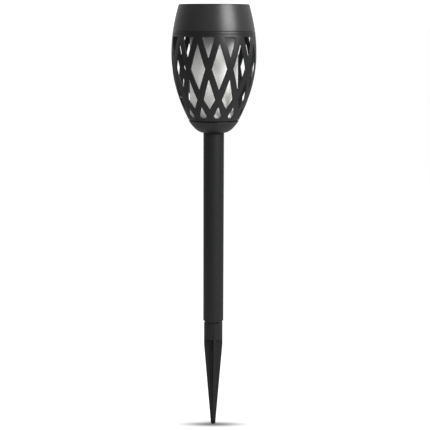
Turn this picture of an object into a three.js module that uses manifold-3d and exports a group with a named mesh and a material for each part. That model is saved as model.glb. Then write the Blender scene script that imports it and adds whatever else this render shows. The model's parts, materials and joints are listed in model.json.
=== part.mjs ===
// Solar garden torch: a ground spike, a pole, and a barrel-shaped lattice head with a frosted LED lamp.
// The lamp hangs from a crown with a solar panel, and screws out of the cage on a three-start thread.
// Millimetres, +Z up. z = 0 is the ground line, where the spike's open blades end and its barrel begins.

import * as THREE from "three";
import { mergeVertices } from "three/addons/utils/BufferGeometryUtils.js";
import Module from "manifold-3d";

const wasm = await Module();
wasm.setup();

// ---------- Driving dimensions ----------

const fitGap = 0.3; // between pieces that touch or slide
const bondGap = 0.1; // between flat layers that are glued or stacked
const sink = 0.5; // how far a part of a piece is sunk into the part that it grows from
const cutPast = 1; // how far a cutter runs past the surface that it cuts

// ground spike
const bladeLength = 129.2; // ground line to tip
const bladeShoulder = 9.6; // stretch of full width under the ground line
const bladeReach = 12.8; // from the axis to a blade's edge
const bladeThickness = 3.6;
const bladeTurn = 10; // degrees the blades are turned from the X and Y axes
const tipReach = 2.9; // the reach at the blunt tip
const barrelHeight = 24.6;
const barrelInset = 0.7; // how far the barrel stays inside the blades' edges
const webDepth = 17; // ground line to the top of the round web between the blades
const webThickness = 3;
const webInset = 1.2;
const collarHeight = 1.8; // stop ring under the pole
const collarProud = 0.9; // how far the ring stands out of the blades

// pole and its two push fits
const poleRadius = 14.5;
const poleWall = 1.5;
const poleLength = 272.4;
const plugLength = 30; // how far each plug reaches into the pole
const plugWall = 2;
const plugChamfer = 1;
const keyWidth = 26; // degrees round the pole
const keyHeight = 2.2;
const spikeKeyAngle = -52; // degrees from +X
const headKeyAngle = 90;
const keyRoot = 1; // how deep a key is rooted in its plug

// head outline
const bowlHeight = 14.2;
const bowlFootRadius = 16.4; // flat under the bowl
const bowlSwell = 8.1; // how far the bowl's control point stands out of its foot
const bowlRise = 1.6; // and above it
const seamGap = 0.9; // the shadow line between cage and bowl
const cageHeight = 123.4;
const crownHeight = 36.4;
const bellyReach = 25.6; // head's widest place outside the diffuser
const bellyDrop = 31.4; // belly below the crown's seam
const bellyRun = 43; // control point below the belly
const crownTaper = 10.4; // crown's top inside the belly
const footReach = 1; // cage's foot outside the diffuser
const shellWall = 2.6;
const bowlWall = 1.8;
const rimRound = 1.2;
const rimWidth = 2.4; // flat ring on top of the crown
const rimBreak = 0.3; // share of the rounding at the middle of its arc

// lattice
const strutPairs = 12;
const strutWidth = 8.7;
const firstCrossing = 1.6; // below the crown's seam, so the first row shows only its lower half
const latticeOverrun = 8.1; // the last crossings lie this far below the cage's foot
const rowHeights = [48.3, 40.5, 23.1, 18]; // of the rows to each other
const latticeTurn = 7.8; // degrees from -Y to the middle of a diamond
const cageBand = 6.6; // solid band at the top of the cage
const cageSill = 5; // solid band at its foot

// joint between cage and bowl
const spigotInset = 3.4; // cage's spigot inside its own outline
const spigotWall = 1.8;
const spigotDepth = 2.5; // below the bowl's rim
const flangeThickness = 2;
const bowlScrewCount = 3;
const bowlScrewLength = 6;

// screw fit between lamp and cage
const threadGap = 0.5; // round the lamp's collar and lugs
const bandWall = 5.9; // cage wall round the thread
const threadCollarWall = 2.4;
const lugCount = 3;
const lugSweep = 22.5; // degrees
const lugHeight = 2.2;
const lugReach = 2;
const lugLift = 1.3; // lug's low end above the collar's foot
const grooveLead = 0.6; // degrees of play behind a lug
const threadRise = 0.07; // mm per degree

// crown inside
const baseLift = 1.3; // base plate above the cage's rim
const baseThickness = 2.4;
const sealSection = 0.8; // radius of the O-ring's section
const rimSealThickness = 0.6;
const baseScrewCount = 4;
const baseScrewLength = 11;
const windowThickness = 1.5;
const windowDrop = 0.6; // window below the rim
const windowLedge = 2.3;
const windowTapeThickness = 0.5;
const cellThickness = 0.4;
const cellCount = 6;
const cellGap = 0.8;
const cellMargin = 2; // board's edge to the nearest cell
const solarBoardThickness = 1.6;
const boardLedge = 3;
const ledgeThickness = 2;

// lamp
const diffuserRadius = 33.4;
const diffuserWall = 1.6;
const diffuserLift = 3; // diffuser's foot above the cage's foot
const diffuserRound = 5;
const lampSpigotHeight = 6;
const lampSpigotWall = 2;
const coreSides = 10;
const coreApothem = 16.5;
const coreWall = 2;
const coreShort = 11; // core ends this far above the diffuser's foot
const coreFlangeRadius = 25;
const coreFlangeThickness = 2;
const coreScrewLength = 4;
const lampLeadDrop = 14; // lamp's lead below the base plate
const stripThickness = 0.4;
const stripMargin = 2;
const ledRows = 5;
const ledWidth = 2.8;
const ledHeight = 3.5;
const ledProud = 0.8;

// battery
const batteryRadius = 9.2;
const batteryLength = 65;
const batteryEdge = 0.6;
const batteryY = 6;
const terminalRadius = 3.4;
const terminalHeight = 1;
const springLength = 6;
const springTurns = 3;
const springWire = 0.45;
const springWide = 5.6;
const springNarrow = 3.4;
const contactThickness = 0.5;
const cradleWall = 1.8;
const cradleFloor = 1.5;
const cradleRise = 1; // cradle's rim above the battery's middle

// electronics and switch
const boardWidth = 30;
const boardDepth = 32;
const boardThickness = 1.6;
const boardStandoff = 7.3;
const boardScrewLength = 5;
const postRadius = 2.4;
const switchInset = 4.4; // switch from the board's far edge
const switchWidth = 6.2;
const switchHeight = 4;
const buttonTravel = 1.5;
const buttonRadius = 4.6;
const buttonHeight = 2.4;
const buttonEdge = 0.8;
const buttonStem = 3;
const buttonFlange = 1;
const buttonLip = 1; // flange outside the stem
const wireHoleRadius = 3;
const leadRadius = 0.6;
const leadSides = 6;
const leadSteps = 12;
const lampLeadSteps = 20;
const panelLeads = [3, 7]; // x of the red one and the black one

// self-tapping screws
const screwShank = 1.25;
const screwPoint = 1.5;
const screwHead = 2.7;
const screwHeadHeight = 1.8;
const bossRadius = 3.4;

// parts on the control board: [width, depth, height] or [radius, height]
const chipSize = [6, 5, 1.8];
const coilSize = [3.6, 4];
const capacitorSize = [2.5, 6.5];

// facets round the head, the lamp, the pole and its plugs, small turned parts, and screws
const roundSteps = 36;
const lampSteps = 32;
const poleSteps = 32;
const smallSteps = 16;
const screwSteps = 8;
const flangeSteps = 24;
const sealSides = 5;
const bowlCurveSteps = 5;
const cornerSteps = 3;
const cageLevels = 7;
const insideLevels = 4;
const crownLevels = 5;
const springSteps = 9; // in each turn of the spring

// ---------- Levels and radii that follow from them ----------

const bellyRadius = diffuserRadius + bellyReach;
const crownTopRadius = bellyRadius - crownTaper;
const cageSeamRadius = diffuserRadius + footReach;
const barrelRadius = bladeReach - barrelInset;
const collarTop = barrelHeight + collarHeight;
const poleFoot = collarTop + fitGap;
const poleTop = poleFoot + poleLength;
const bowlBase = poleTop + fitGap;
const bowlTop = bowlBase + bowlHeight;
const cageFoot = bowlTop + seamGap;
const cageTop = cageFoot + cageHeight;
const seamZ = cageTop + fitGap; // the crown's lower rim
const crownTop = seamZ + crownHeight;
const bellyZ = seamZ - bellyDrop;
const poleBore = poleRadius - poleWall;
const plugRadius = poleBore - fitGap;

const latticeDepth = seamZ - cageFoot + latticeOverrun;
const rowsTotal = rowHeights.reduce((sum, height) => sum + height);
const strutCrossings = [firstCrossing];
for (const height of rowHeights) {
  strutCrossings.push(strutCrossings.at(-1) + (height / rowsTotal) * (latticeDepth - firstCrossing));
}

const spigotRadius = cageSeamRadius - spigotInset;
const spigotBore = spigotRadius - spigotWall;
const spigotFoot = bowlTop - spigotDepth;
const flangeTop = spigotFoot + flangeThickness;
const bowlScrewCircle = spigotBore - screwHead - fitGap;

const basePlateZ = cageTop + baseLift;
const baseTop = basePlateZ + baseThickness;
const windowTop = crownTop - windowDrop;
const windowFoot = windowTop - windowThickness;
const tapeFoot = windowFoot - bondGap - windowTapeThickness;
const cellTop = windowFoot - 2 * bondGap;
const solarTop = cellTop - cellThickness - bondGap;
const solarFoot = solarTop - solarBoardThickness;
const windowSeat = tapeFoot - bondGap;
const solarSeat = solarFoot - bondGap;
const ledgeFoot = solarSeat - ledgeThickness;
const recessRadius = crownTopRadius - rimRound - rimWidth;
const solarRadius = recessRadius - windowLedge;
const cellWidth = (2 * (solarRadius - cellMargin) - (cellCount - 1) * cellGap) / (cellCount + 0.5);

const diffuserTop = basePlateZ - fitGap;
const diffuserFoot = cageFoot + diffuserLift;
const coreFoot = diffuserFoot + coreShort;
const coreTop = basePlateZ - bondGap;
const coreScrewX = coreFlangeRadius - screwHead - screwShank;

const boardFoot = baseTop + boardStandoff;
const boardTop = boardFoot + boardThickness;
const batteryZ = baseTop + bondGap + cradleFloor + fitGap + batteryRadius;
const cradleFront = batteryY - batteryRadius - fitGap - cradleWall;

// ---------- Materials ----------

const plastic = (color, roughness) => new THREE.MeshStandardMaterial({ color, roughness, metalness: 0 });
const metal = (color, roughness) => new THREE.MeshStandardMaterial({ color, roughness, metalness: 1 });

const blackShell = () => plastic(0x2c2d2e, 0.45);
const blackSpike = () => plastic(0x262728, 0.6);
const frosted = () => plastic(0xe8e8e4, 0.5);
const whitePlastic = () => plastic(0xf0f0ec, 0.55);
const rubber = () => plastic(0x1b1b1c, 0.85);
const boardGreen = () => plastic(0x1d5a38, 0.5);
const boardBlack = () => plastic(0x141518, 0.45);
const cellBlue = () => plastic(0x10182e, 0.25);
const clearPlastic = () => plastic(0xf4f8fa, 0.08);
const batterySleeve = () => plastic(0x2f6fb0, 0.4);
const chipBlack = () => plastic(0x161616, 0.5);
const redInsulation = () => plastic(0xb02020, 0.5);
const blackInsulation = () => plastic(0x151515, 0.5);
const steel = () => metal(0xb8babc, 0.35);

// ---------- Geometry helpers ----------

// A closed geometry as a solid that can be joined and cut.
function solid(geometry) {
  const bare = geometry.clone();
  bare.deleteAttribute("normal");
  bare.deleteAttribute("uv");
  const merged = mergeVertices(bare, 1e-4);
  return new wasm.Manifold(
    new wasm.Mesh({
      numProp: 3,
      vertProperties: new Float32Array(merged.attributes.position.array),
      triVerts: new Uint32Array(merged.index.array),
    }),
  );
}

// A solid's triangles as a geometry.
function toGeometry(body) {
  const mesh = body.getMesh();
  const geometry = new THREE.BufferGeometry();
  geometry.setAttribute("position", new THREE.BufferAttribute(new Float32Array(mesh.vertProperties), 3));
  geometry.setIndex(new THREE.BufferAttribute(new Uint32Array(mesh.triVerts), 1));
  geometry.computeVertexNormals();
  return geometry;
}

// Turns an outline of [radius, height] pairs round Z. The outline runs up the outside and down the inside.
function turned(outline, steps = roundSteps) {
  const points = outline.map(([radius, height]) => new THREE.Vector2(radius, height));
  const onAxis = (corner) => Math.abs(corner.x) < 1e-6;
  if (!onAxis(points[0]) || !onAxis(points[points.length - 1])) points.push(points[0].clone());
  return new THREE.LatheGeometry(points, steps).rotateX(Math.PI / 2);
}

function turnedTube(outer, inner, low, high, steps = roundSteps) {
  return turned([[inner, low], [outer, low], [outer, high], [inner, high]], steps);
}

function turnedDisc(radius, low, high, steps = roundSteps) {
  return turned([[0, low], [radius, low], [radius, high], [0, high]], steps);
}

function block(sizeX, sizeY, low, high, x = 0, y = 0) {
  return new THREE.BoxGeometry(sizeX, sizeY, high - low).translate(x, y, (low + high) / 2);
}

const alongX = (geometry, y, z) => geometry.rotateY(Math.PI / 2).translate(0, y, z);

// Moves every vertex from (angle in degrees, height, radius) to its place round Z.
function wrapRound(geometry) {
  const p = geometry.attributes.position;
  for (let i = 0; i < p.count; i++) {
    const angle = THREE.MathUtils.degToRad(p.getX(i));
    const radius = p.getZ(i);
    p.setXYZ(i, radius * Math.cos(angle), radius * Math.sin(angle), p.getY(i));
  }
  return geometry;
}

// A block bent round Z that climbs by rise mm per degree.
function bentBlock(startAngle, sweep, inner, outer, low, high, rise = 0) {
  const steps = Math.ceil((sweep * roundSteps) / 360);
  const box = new THREE.BoxGeometry(sweep, high - low, outer - inner, steps, 1, 1);
  box.translate(startAngle + sweep / 2, (low + high) / 2, (inner + outer) / 2);
  const p = box.attributes.position;
  for (let i = 0; i < p.count; i++) p.setY(i, p.getY(i) + rise * (p.getX(i) - startAngle));
  return wrapRound(box);
}

// A round wire through points.
function wire(points, radius, steps) {
  const circle = new THREE.EllipseCurve(0, 0, radius, radius).getPoints(leadSides);
  const section = new THREE.Shape(circle.slice(0, leadSides));
  const path = new THREE.CatmullRomCurve3(points);
  return new THREE.ExtrudeGeometry(section, { extrudePath: path, steps, bevelEnabled: false });
}

function onCircle(radius, degrees) {
  const angle = THREE.MathUtils.degToRad(degrees);
  return [radius * Math.cos(angle), radius * Math.sin(angle)];
}

// Places spread evenly on a circle.
const places = (count, radius, first) =>
  Array.from({ length: count }, (_, i) => onCircle(radius, first + (i * 360) / count));

const levels = (low, high, count) =>
  Array.from({ length: count + 1 }, (_, i) => low + ((high - low) * i) / count);

// A hole or post standing at each place.
const standing = (spots, radius, low, high) =>
  spots.map(([x, y]) => solid(turnedDisc(radius, low, high, screwSteps).translate(x, y, 0)));

const joinAll = (body, others) => others.reduce((sum, other) => sum.add(other), body);
const cutAll = (body, others) => others.reduce((rest, other) => rest.subtract(other), body);

// ---------- The head's outline ----------

const upperOutline = new THREE.QuadraticBezierCurve(
  new THREE.Vector2(bellyRadius, bellyZ),
  new THREE.Vector2(bellyRadius, (bellyZ + crownTop) / 2),
  new THREE.Vector2(crownTopRadius, crownTop),
);
const lowerOutline = new THREE.QuadraticBezierCurve(
  new THREE.Vector2(cageSeamRadius, cageFoot),
  new THREE.Vector2(bellyRadius, bellyZ - bellyRun),
  new THREE.Vector2(bellyRadius, bellyZ),
);

// The head's outer radius at a height: on each curve the height is a quadratic in the curve's parameter.
function headRadius(z) {
  const curve = z > bellyZ ? upperOutline : lowerOutline;
  const a = curve.v0.y - 2 * curve.v1.y + curve.v2.y;
  const b = 2 * (curve.v1.y - curve.v0.y);
  const c = curve.v0.y - z;
  const t = Math.abs(a) < 1e-9 ? -c / b : (-b + Math.sqrt(Math.max(0, b * b - 4 * a * c))) / (2 * a);
  return curve.getPoint(t).x;
}

// The inside radius of a shell of even wall.
function innerRadius(z, wall = shellWall) {
  const slope = headRadius(z + 0.5) - headRadius(z - 0.5);
  return headRadius(z) - wall * Math.sqrt(1 + slope * slope);
}

// The screw fit and what stands on the base plate take their places from the outline.
const ringBore = headRadius(cageTop) - bandWall;
const collarRadius = ringBore - threadGap;
const collarBore = collarRadius - threadCollarWall;
const collarFoot = cageTop + fitGap - cageBand;
const plateRadius = innerRadius(baseTop) - fitGap;
const sealRadius = (collarRadius + plateRadius) / 2;
const baseScrewCircle = collarBore - bossRadius - fitGap;
const baseScrews = places(baseScrewCount, baseScrewCircle, 45);
const bowlScrews = places(bowlScrewCount, bowlScrewCircle, 30);
const coreScrews = places(2, coreScrewX, 0);

const switchY = -(diffuserRadius + collarBore) / 2;
const boardY = switchY - switchInset + boardDepth / 2;
const boardBack = boardY + boardDepth / 2;
const wireHoleY = (boardBack + cradleFront) / 2;
const boardCornerX = boardWidth / 2 - postRadius;
const boardScrews = [-1, 1].map((side) => [side * boardCornerX, boardBack - postRadius]);
const plainPosts = [-1, 1].map((side) => [side * boardCornerX, boardY - boardDepth / 6]);
const boardPosts = [...boardScrews, ...plainPosts];

// ---------- Ground spike ----------

// One blade, drawn across its full width in XZ; two of them cross.
function blade(turn) {
  const outline = new THREE.Shape([
    new THREE.Vector2(-bladeReach, barrelHeight),
    new THREE.Vector2(-bladeReach, -bladeShoulder),
    new THREE.Vector2(-tipReach, -bladeLength),
    new THREE.Vector2(tipReach, -bladeLength),
    new THREE.Vector2(bladeReach, -bladeShoulder),
    new THREE.Vector2(bladeReach, barrelHeight),
  ]);
  const plate = new THREE.ExtrudeGeometry(outline, { depth: bladeThickness, bevelEnabled: false });
  plate.translate(0, 0, -bladeThickness / 2).rotateX(Math.PI / 2);
  return solid(plate.rotateZ(THREE.MathUtils.degToRad(turn)));
}

// A hollow plug, open at its far end; direction is 1 upwards and -1 downwards.
function plug(base, direction) {
  const end = base + direction * plugLength;
  const bore = plugRadius - plugWall;
  const floor = base + direction * plugWall;
  const profile = [
    [0, base - direction * sink], [plugRadius, base - direction * sink],
    [plugRadius, end - direction * plugChamfer],
    [plugRadius - plugChamfer, end], [bore, end], [bore, floor], [0, floor],
  ];
  return solid(turned(direction > 0 ? profile : profile.reverse(), poleSteps));
}

// The key beside a plug, which stops the pole from turning on it.
function key(angle, low, high) {
  const inner = plugRadius - keyRoot;
  return solid(bentBlock(angle - keyWidth / 2, keyWidth, inner, poleRadius - fitGap, low, high));
}

function groundSpike() {
  const webRadius = bladeReach - webInset;
  return joinAll(solid(turnedDisc(barrelRadius, 0, barrelHeight, poleSteps)), [
    blade(bladeTurn),
    blade(bladeTurn + 90),
    solid(turnedDisc(webRadius, -webDepth - webThickness, -webDepth, smallSteps)),
    solid(turnedDisc(bladeReach + collarProud, barrelHeight - sink, collarTop, poleSteps)),
    plug(collarTop, 1),
    key(spikeKeyAngle, collarTop - sink, poleFoot + keyHeight),
  ]);
}

// ---------- Pole ----------

// The notch for a key, open towards the end of the pole; direction points into the pole.
function keyNotch(angle, end, direction) {
  const clearance = THREE.MathUtils.radToDeg(fitGap / poleBore);
  const deep = end + direction * (keyHeight + fitGap);
  const open = end - direction * cutPast;
  return solid(bentBlock(
    angle - keyWidth / 2 - clearance, keyWidth + 2 * clearance, poleBore - cutPast, poleRadius + cutPast,
    Math.min(open, deep), Math.max(open, deep),
  ));
}

function pole() {
  return solid(turnedTube(poleRadius, poleBore, poleFoot, poleTop, poleSteps))
    .subtract(keyNotch(spikeKeyAngle, poleFoot, 1))
    .subtract(keyNotch(headKeyAngle, poleTop, -1));
}

// ---------- Bowl ----------

function bowl() {
  const bore = spigotRadius + fitGap;
  const boreFoot = spigotFoot - fitGap;
  const outside = new THREE.QuadraticBezierCurve(
    new THREE.Vector2(bowlFootRadius, bowlBase),
    new THREE.Vector2(bowlFootRadius + bowlSwell, bowlBase + bowlRise),
    new THREE.Vector2(cageSeamRadius, bowlTop),
  ).getPoints(bowlCurveSteps).map((corner) => [corner.x, corner.y]);
  const hollow = outside
    .map(([radius, z]) => [radius - bowlWall, z + bowlWall])
    .filter(([radius, z]) => radius < bore && z < boreFoot);
  const shell = turned([
    [0, bowlBase], ...outside, [bore, bowlTop], [bore, boreFoot], ...hollow.reverse(),
    [0, bowlBase + shellWall],
  ], roundSteps);
  const inside = solid(turned([
    [0, bowlBase + sink], ...outside.map(([radius, z]) => [radius - sink, z + sink]), [0, bowlTop + sink],
  ], roundSteps));
  const postTop = spigotFoot - fitGap;
  const posts = standing(bowlScrews, bossRadius, bowlBase + shellWall - sink, postTop)
    .map((post) => post.intersect(inside));
  const drillFoot = flangeTop - bowlScrewLength - fitGap;
  const drillings = standing(bowlScrews, screwShank + fitGap, drillFoot, postTop + cutPast);
  return cutAll(joinAll(solid(shell), posts), drillings)
    .add(plug(bowlBase, -1))
    .add(key(headKeyAngle, poleTop - keyHeight, bowlBase + sink));
}

// ---------- Lattice cage ----------

// How far the struts' edges stand from a crossing, above and beside it, in the row between two crossings.
function strutReach(from, to) {
  const middle = seamZ - (strutCrossings[from] + strutCrossings[to]) / 2;
  const rise = strutCrossings[to] - strutCrossings[from];
  const run = (headRadius(middle) * Math.PI) / strutPairs;
  const slant = Math.atan2(run, rise);
  return { above: strutWidth / 2 / Math.sin(slant), beside: strutWidth / 2 / Math.cos(slant) };
}

// The right half of an opening as [angle in degrees, height], from its head down to its foot.
function halfOpening(row) {
  const middle = seamZ - strutCrossings[row];
  const lower = strutReach(row, row + 1);
  const upper = row > 0 ? strutReach(row - 1, row) : lower;
  const strutHalf = THREE.MathUtils.radToDeg((upper.beside + lower.beside) / 2 / headRadius(middle));
  const side = 180 / strutPairs - strutHalf;
  const head = row > 0 ? seamZ - strutCrossings[row - 1] - upper.above : middle + upper.above;
  const foot = seamZ - strutCrossings[row + 1] + lower.above;
  const highest = seamZ - cageBand;
  const lowest = cageFoot + cageSill;
  const angleAt = (z) => side * (z > middle ? (head - z) / (head - middle) : (z - foot) / (middle - foot));
  const half = [];
  half.push(head > highest ? [angleAt(highest), highest] : [0, head]);
  if (middle < highest) half.push([side, middle]);
  half.push(foot < lowest ? [angleAt(lowest), lowest] : [0, foot]);
  return half;
}

// A cutter through the wall for one opening.
function openingCutter(row, angle) {
  const half = halfOpening(row);
  const mirrored = half.filter(([turn]) => turn > 0).map(([turn, z]) => [-turn, z]);
  const corners = [...mirrored, ...half.reverse()];
  const shape = new THREE.Shape(corners.map(([turn, z]) => new THREE.Vector2(turn, z)));
  const cutter = new THREE.ExtrudeGeometry(shape, { depth: 1, bevelEnabled: false });
  const p = cutter.attributes.position;
  const outwards = bandWall;
  const inwards = 2 * bandWall;
  for (let i = 0; i < p.count; i++) {
    const radius = headRadius(p.getY(i)) + (p.getZ(i) > 0.5 ? outwards : -inwards);
    p.setXYZ(i, p.getX(i) + angle, p.getY(i), radius);
  }
  return solid(wrapRound(cutter));
}

function latticeCage() {
  const outside = levels(cageFoot, cageTop, cageLevels).map((z) => [headRadius(z), z]);
  const inside = levels(cageFoot + shellWall, collarFoot, insideLevels)
    .map((z) => [innerRadius(z), z]).reverse();
  const flangeBore = bowlScrewCircle - bossRadius;
  const body = solid(turned([
    ...outside, [ringBore, cageTop], [ringBore, collarFoot], ...inside, [spigotBore, cageFoot],
    [spigotBore, flangeTop], [flangeBore, flangeTop], [flangeBore, spigotFoot],
    [spigotRadius, spigotFoot], [spigotRadius, cageFoot],
  ]));
  const openings = [];
  for (let row = 0; row < strutCrossings.length - 1; row++) {
    const shift = row % 2 ? 0 : 180 / strutPairs;
    for (let i = 0; i < strutPairs; i++) {
      openings.push(openingCutter(row, latticeTurn - 90 + shift + (i * 360) / strutPairs));
    }
  }
  const grooveLow = collarFoot + lugLift - fitGap;
  const grooveHigh = collarFoot + lugLift + lugHeight + fitGap;
  const grooveSweep = (cageTop + cutPast - grooveLow) / threadRise;
  const grooves = Array.from({ length: lugCount }, (_, i) => solid(bentBlock(
    (i * 360) / lugCount - grooveLead, grooveSweep, ringBore - cutPast, ringBore + lugReach,
    grooveLow, grooveHigh, threadRise,
  )));
  const holes = standing(bowlScrews, screwShank + fitGap, spigotFoot - cutPast, flangeTop + cutPast);
  return cutAll(body, [...openings, ...grooves, ...holes]);
}

// ---------- Crown ----------

function crownShell() {
  const stepFoot = baseTop + 2 * sealSection + 2 * bondGap;
  const stepTop = stepFoot + shellWall;
  const stepRadius = sealRadius - sealSection;
  const outside = levels(seamZ, crownTop - rimRound, crownLevels).map((z) => [headRadius(z), z]);
  const body = solid(turned([
    ...outside, [crownTopRadius - rimRound * rimBreak, crownTop - rimRound * rimBreak],
    [crownTopRadius - rimRound, crownTop],
    [recessRadius, crownTop], [recessRadius, windowSeat],
    [solarRadius, windowSeat], [solarRadius, solarSeat],
    [solarRadius - boardLedge, solarSeat], [solarRadius - boardLedge, ledgeFoot],
    [innerRadius(ledgeFoot), ledgeFoot],
    [innerRadius(stepTop), stepTop], [stepRadius, stepTop], [stepRadius, stepFoot],
    [innerRadius(stepFoot), stepFoot], [innerRadius(seamZ), seamZ],
  ]));
  const bosses = standing(baseScrews, bossRadius, baseTop + fitGap, ledgeFoot + sink);
  const drillTop = basePlateZ + baseScrewLength + fitGap;
  const drillings = standing(baseScrews, screwShank + fitGap, baseTop - cutPast, drillTop);
  return cutAll(joinAll(body, bosses), drillings);
}

// Solar cells lie side by side, each as long as the round board allows.
function solarCell(index) {
  const x = (index - (cellCount - 1) / 2) * (cellWidth + cellGap);
  const outerEdge = Math.abs(x) + cellWidth / 2;
  const length = 2 * Math.sqrt((solarRadius - cellMargin) ** 2 - outerEdge ** 2);
  return block(cellWidth, length, cellTop - cellThickness, cellTop, x);
}

// ---------- Base plate and lamp ----------

function basePlate() {
  const lampSpigot = diffuserRadius - diffuserWall - fitGap;
  const lugLow = collarFoot + lugLift;
  const lugs = Array.from({ length: lugCount }, (_, i) => solid(bentBlock(
    (i * 360) / lugCount, lugSweep, collarRadius - sink, collarRadius + lugReach,
    lugLow, lugLow + lugHeight, threadRise,
  )));
  const plate = joinAll(solid(turnedDisc(plateRadius, basePlateZ, baseTop)), [
    solid(turnedTube(collarRadius, collarBore, collarFoot, basePlateZ + sink)),
    solid(turnedTube(
      lampSpigot, lampSpigot - lampSpigotWall, basePlateZ - lampSpigotHeight, basePlateZ + sink, lampSteps,
    )),
    ...lugs,
    ...standing(boardPosts, postRadius, baseTop - sink, boardFoot - bondGap),
  ]);
  const hole = screwShank + fitGap;
  const low = basePlateZ - cutPast;
  const high = baseTop + cutPast;
  return cutAll(plate, [
    ...standing(boardPosts, hole, boardFoot - boardScrewLength, boardFoot + cutPast),
    ...standing([...baseScrews, ...coreScrews], hole, low, high),
    ...standing([[0, wireHoleY]], wireHoleRadius, low, high),
    solid(turnedDisc(buttonStem + fitGap, low, high, smallSteps).translate(0, switchY, 0)),
  ]);
}

// A screw standing on its point, with its head's underside at z = 0.
function screw(length) {
  return turned([
    [0, -length], [screwShank, screwPoint - length], [screwShank, 0], [screwHead, 0],
    [screwHead, screwHeadHeight / 2], [screwHead / 2, screwHeadHeight], [0, screwHeadHeight],
  ], screwSteps);
}

function diffuser() {
  const centreRadius = diffuserRadius - diffuserRound;
  const centreZ = diffuserFoot + diffuserRound;
  const quarter = (radius) =>
    new THREE.EllipseCurve(centreRadius, centreZ, radius, radius, -Math.PI / 2, 0).getPoints(cornerSteps)
      .map((corner) => [corner.x, corner.y]);
  return turned([
    [0, diffuserFoot], ...quarter(diffuserRound), [diffuserRadius, diffuserTop],
    [diffuserRadius - diffuserWall, diffuserTop], ...quarter(diffuserRound - diffuserWall).reverse(),
    [0, diffuserFoot + diffuserWall],
  ], lampSteps);
}

// A many-sided tube, sized across its flats.
function flatTube(outer, inner, low, high) {
  const toCorner = 1 / Math.cos(Math.PI / coreSides);
  const flatFirst = Math.PI / 2 + Math.PI / coreSides; // turns the middle of a flat to +X
  return turnedTube(outer * toCorner, inner * toCorner, low, high, coreSides).rotateZ(flatFirst);
}

function ledCore() {
  const coreBore = coreApothem - coreWall;
  const flangeFoot = coreTop - coreFlangeThickness;
  const flange = turnedTube(coreFlangeRadius, coreBore, flangeFoot, coreTop, flangeSteps);
  return cutAll(
    solid(flatTube(coreApothem, coreBore, coreFoot, coreTop)).add(solid(flange)),
    standing(coreScrews, screwShank + fitGap, flangeFoot - cutPast, coreTop + cutPast),
  );
}

// The flexible strip is wrapped round the core, with a column of LEDs on each flat.
function ledStrip() {
  const inner = coreApothem + bondGap;
  const outer = inner + stripThickness;
  const low = coreFoot + stripMargin;
  const high = coreTop - coreFlangeThickness - stripMargin;
  const pitch = (high - low) / ledRows;
  const leds = [];
  for (let side = 0; side < coreSides; side++) {
    for (let row = 0; row < ledRows; row++) {
      const led = new THREE.BoxGeometry(ledProud + stripThickness / 2, ledWidth, ledHeight);
      led.translate(outer + ledProud / 2 - stripThickness / 4, 0, low + pitch * (row + 0.5));
      leds.push(solid(led.rotateZ((side * 2 * Math.PI) / coreSides)));
    }
  }
  return joinAll(solid(flatTube(outer, inner, low, high)), leds);
}

// ---------- Battery ----------

// The cell, its spring and its contacts are centred together on the torch's axis.
const batteryX = (springLength - terminalHeight) / 2;
const springEnd = batteryX - batteryLength / 2 - springLength;
const negativeContactX = springEnd - fitGap - contactThickness / 2;
const positiveContactX = batteryX + batteryLength / 2 + terminalHeight + fitGap + contactThickness / 2;

function battery() {
  const end = batteryLength / 2;
  return alongX(turned([
    [0, -end], [batteryRadius - batteryEdge, -end], [batteryRadius, batteryEdge - end],
    [batteryRadius, end - batteryEdge], [batteryRadius - batteryEdge, end], [terminalRadius, end],
    [terminalRadius, end + terminalHeight], [0, end + terminalHeight],
  ], smallSteps), batteryY, batteryZ).translate(batteryX, 0, 0);
}

function batteryCradle() {
  const low = baseTop + bondGap;
  const high = batteryZ + cradleRise;
  const trough = (batteryRadius + fitGap) / Math.cos(Math.PI / smallSteps);
  const left = negativeContactX - contactThickness / 2 - fitGap;
  const right = positiveContactX + contactThickness / 2 + fitGap;
  const middle = (left + right) / 2;
  const width = right - left;
  const outer = block(width + 2 * cradleWall, 2 * (batteryY - cradleFront), low, high, middle, batteryY);
  const round = alongX(turnedDisc(trough, left, right, smallSteps), batteryY, batteryZ);
  const mouth = block(width, 2 * (batteryRadius + fitGap), batteryZ, high + cutPast, middle, batteryY);
  return solid(outer).subtract(solid(round)).subtract(solid(mouth));
}

function batterySpring() {
  const steps = springTurns * springSteps;
  const start = springEnd + springWire;
  const length = springLength - 2 * springWire - fitGap;
  const points = Array.from({ length: steps + 1 }, (_, i) => {
    const share = i / steps;
    const coil = springWide + (springNarrow - springWide) * share;
    const [across, up] = onCircle(coil, share * springTurns * 360);
    return new THREE.Vector3(start + length * share, batteryY + across, batteryZ + up);
  });
  return wire(points, springWire, steps);
}

function contactPlate(x) {
  const side = batteryRadius * Math.SQRT2;
  return new THREE.BoxGeometry(contactThickness, side, side).translate(x, batteryY, batteryZ);
}

// ---------- Electronics and switch ----------

function controlBoard() {
  return cutAll(
    solid(block(boardWidth, boardDepth, boardFoot, boardTop, 0, boardY)),
    standing(boardScrews, screwShank + fitGap, boardFoot - cutPast, boardTop + cutPast),
  );
}

// Parts that stand on the board, square and round.
const boardPart = ([width, depth, height], x, y) =>
  block(width, depth, boardTop + bondGap, boardTop + bondGap + height, x, y);

const roundBoardPart = ([radius, height], x, y) =>
  turnedDisc(radius, boardTop + bondGap, boardTop + bondGap + height, smallSteps).translate(x, y, 0);

function switchBody() {
  const top = boardFoot - bondGap;
  return block(switchWidth, switchWidth, top - switchHeight, top, 0, switchY);
}

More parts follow.
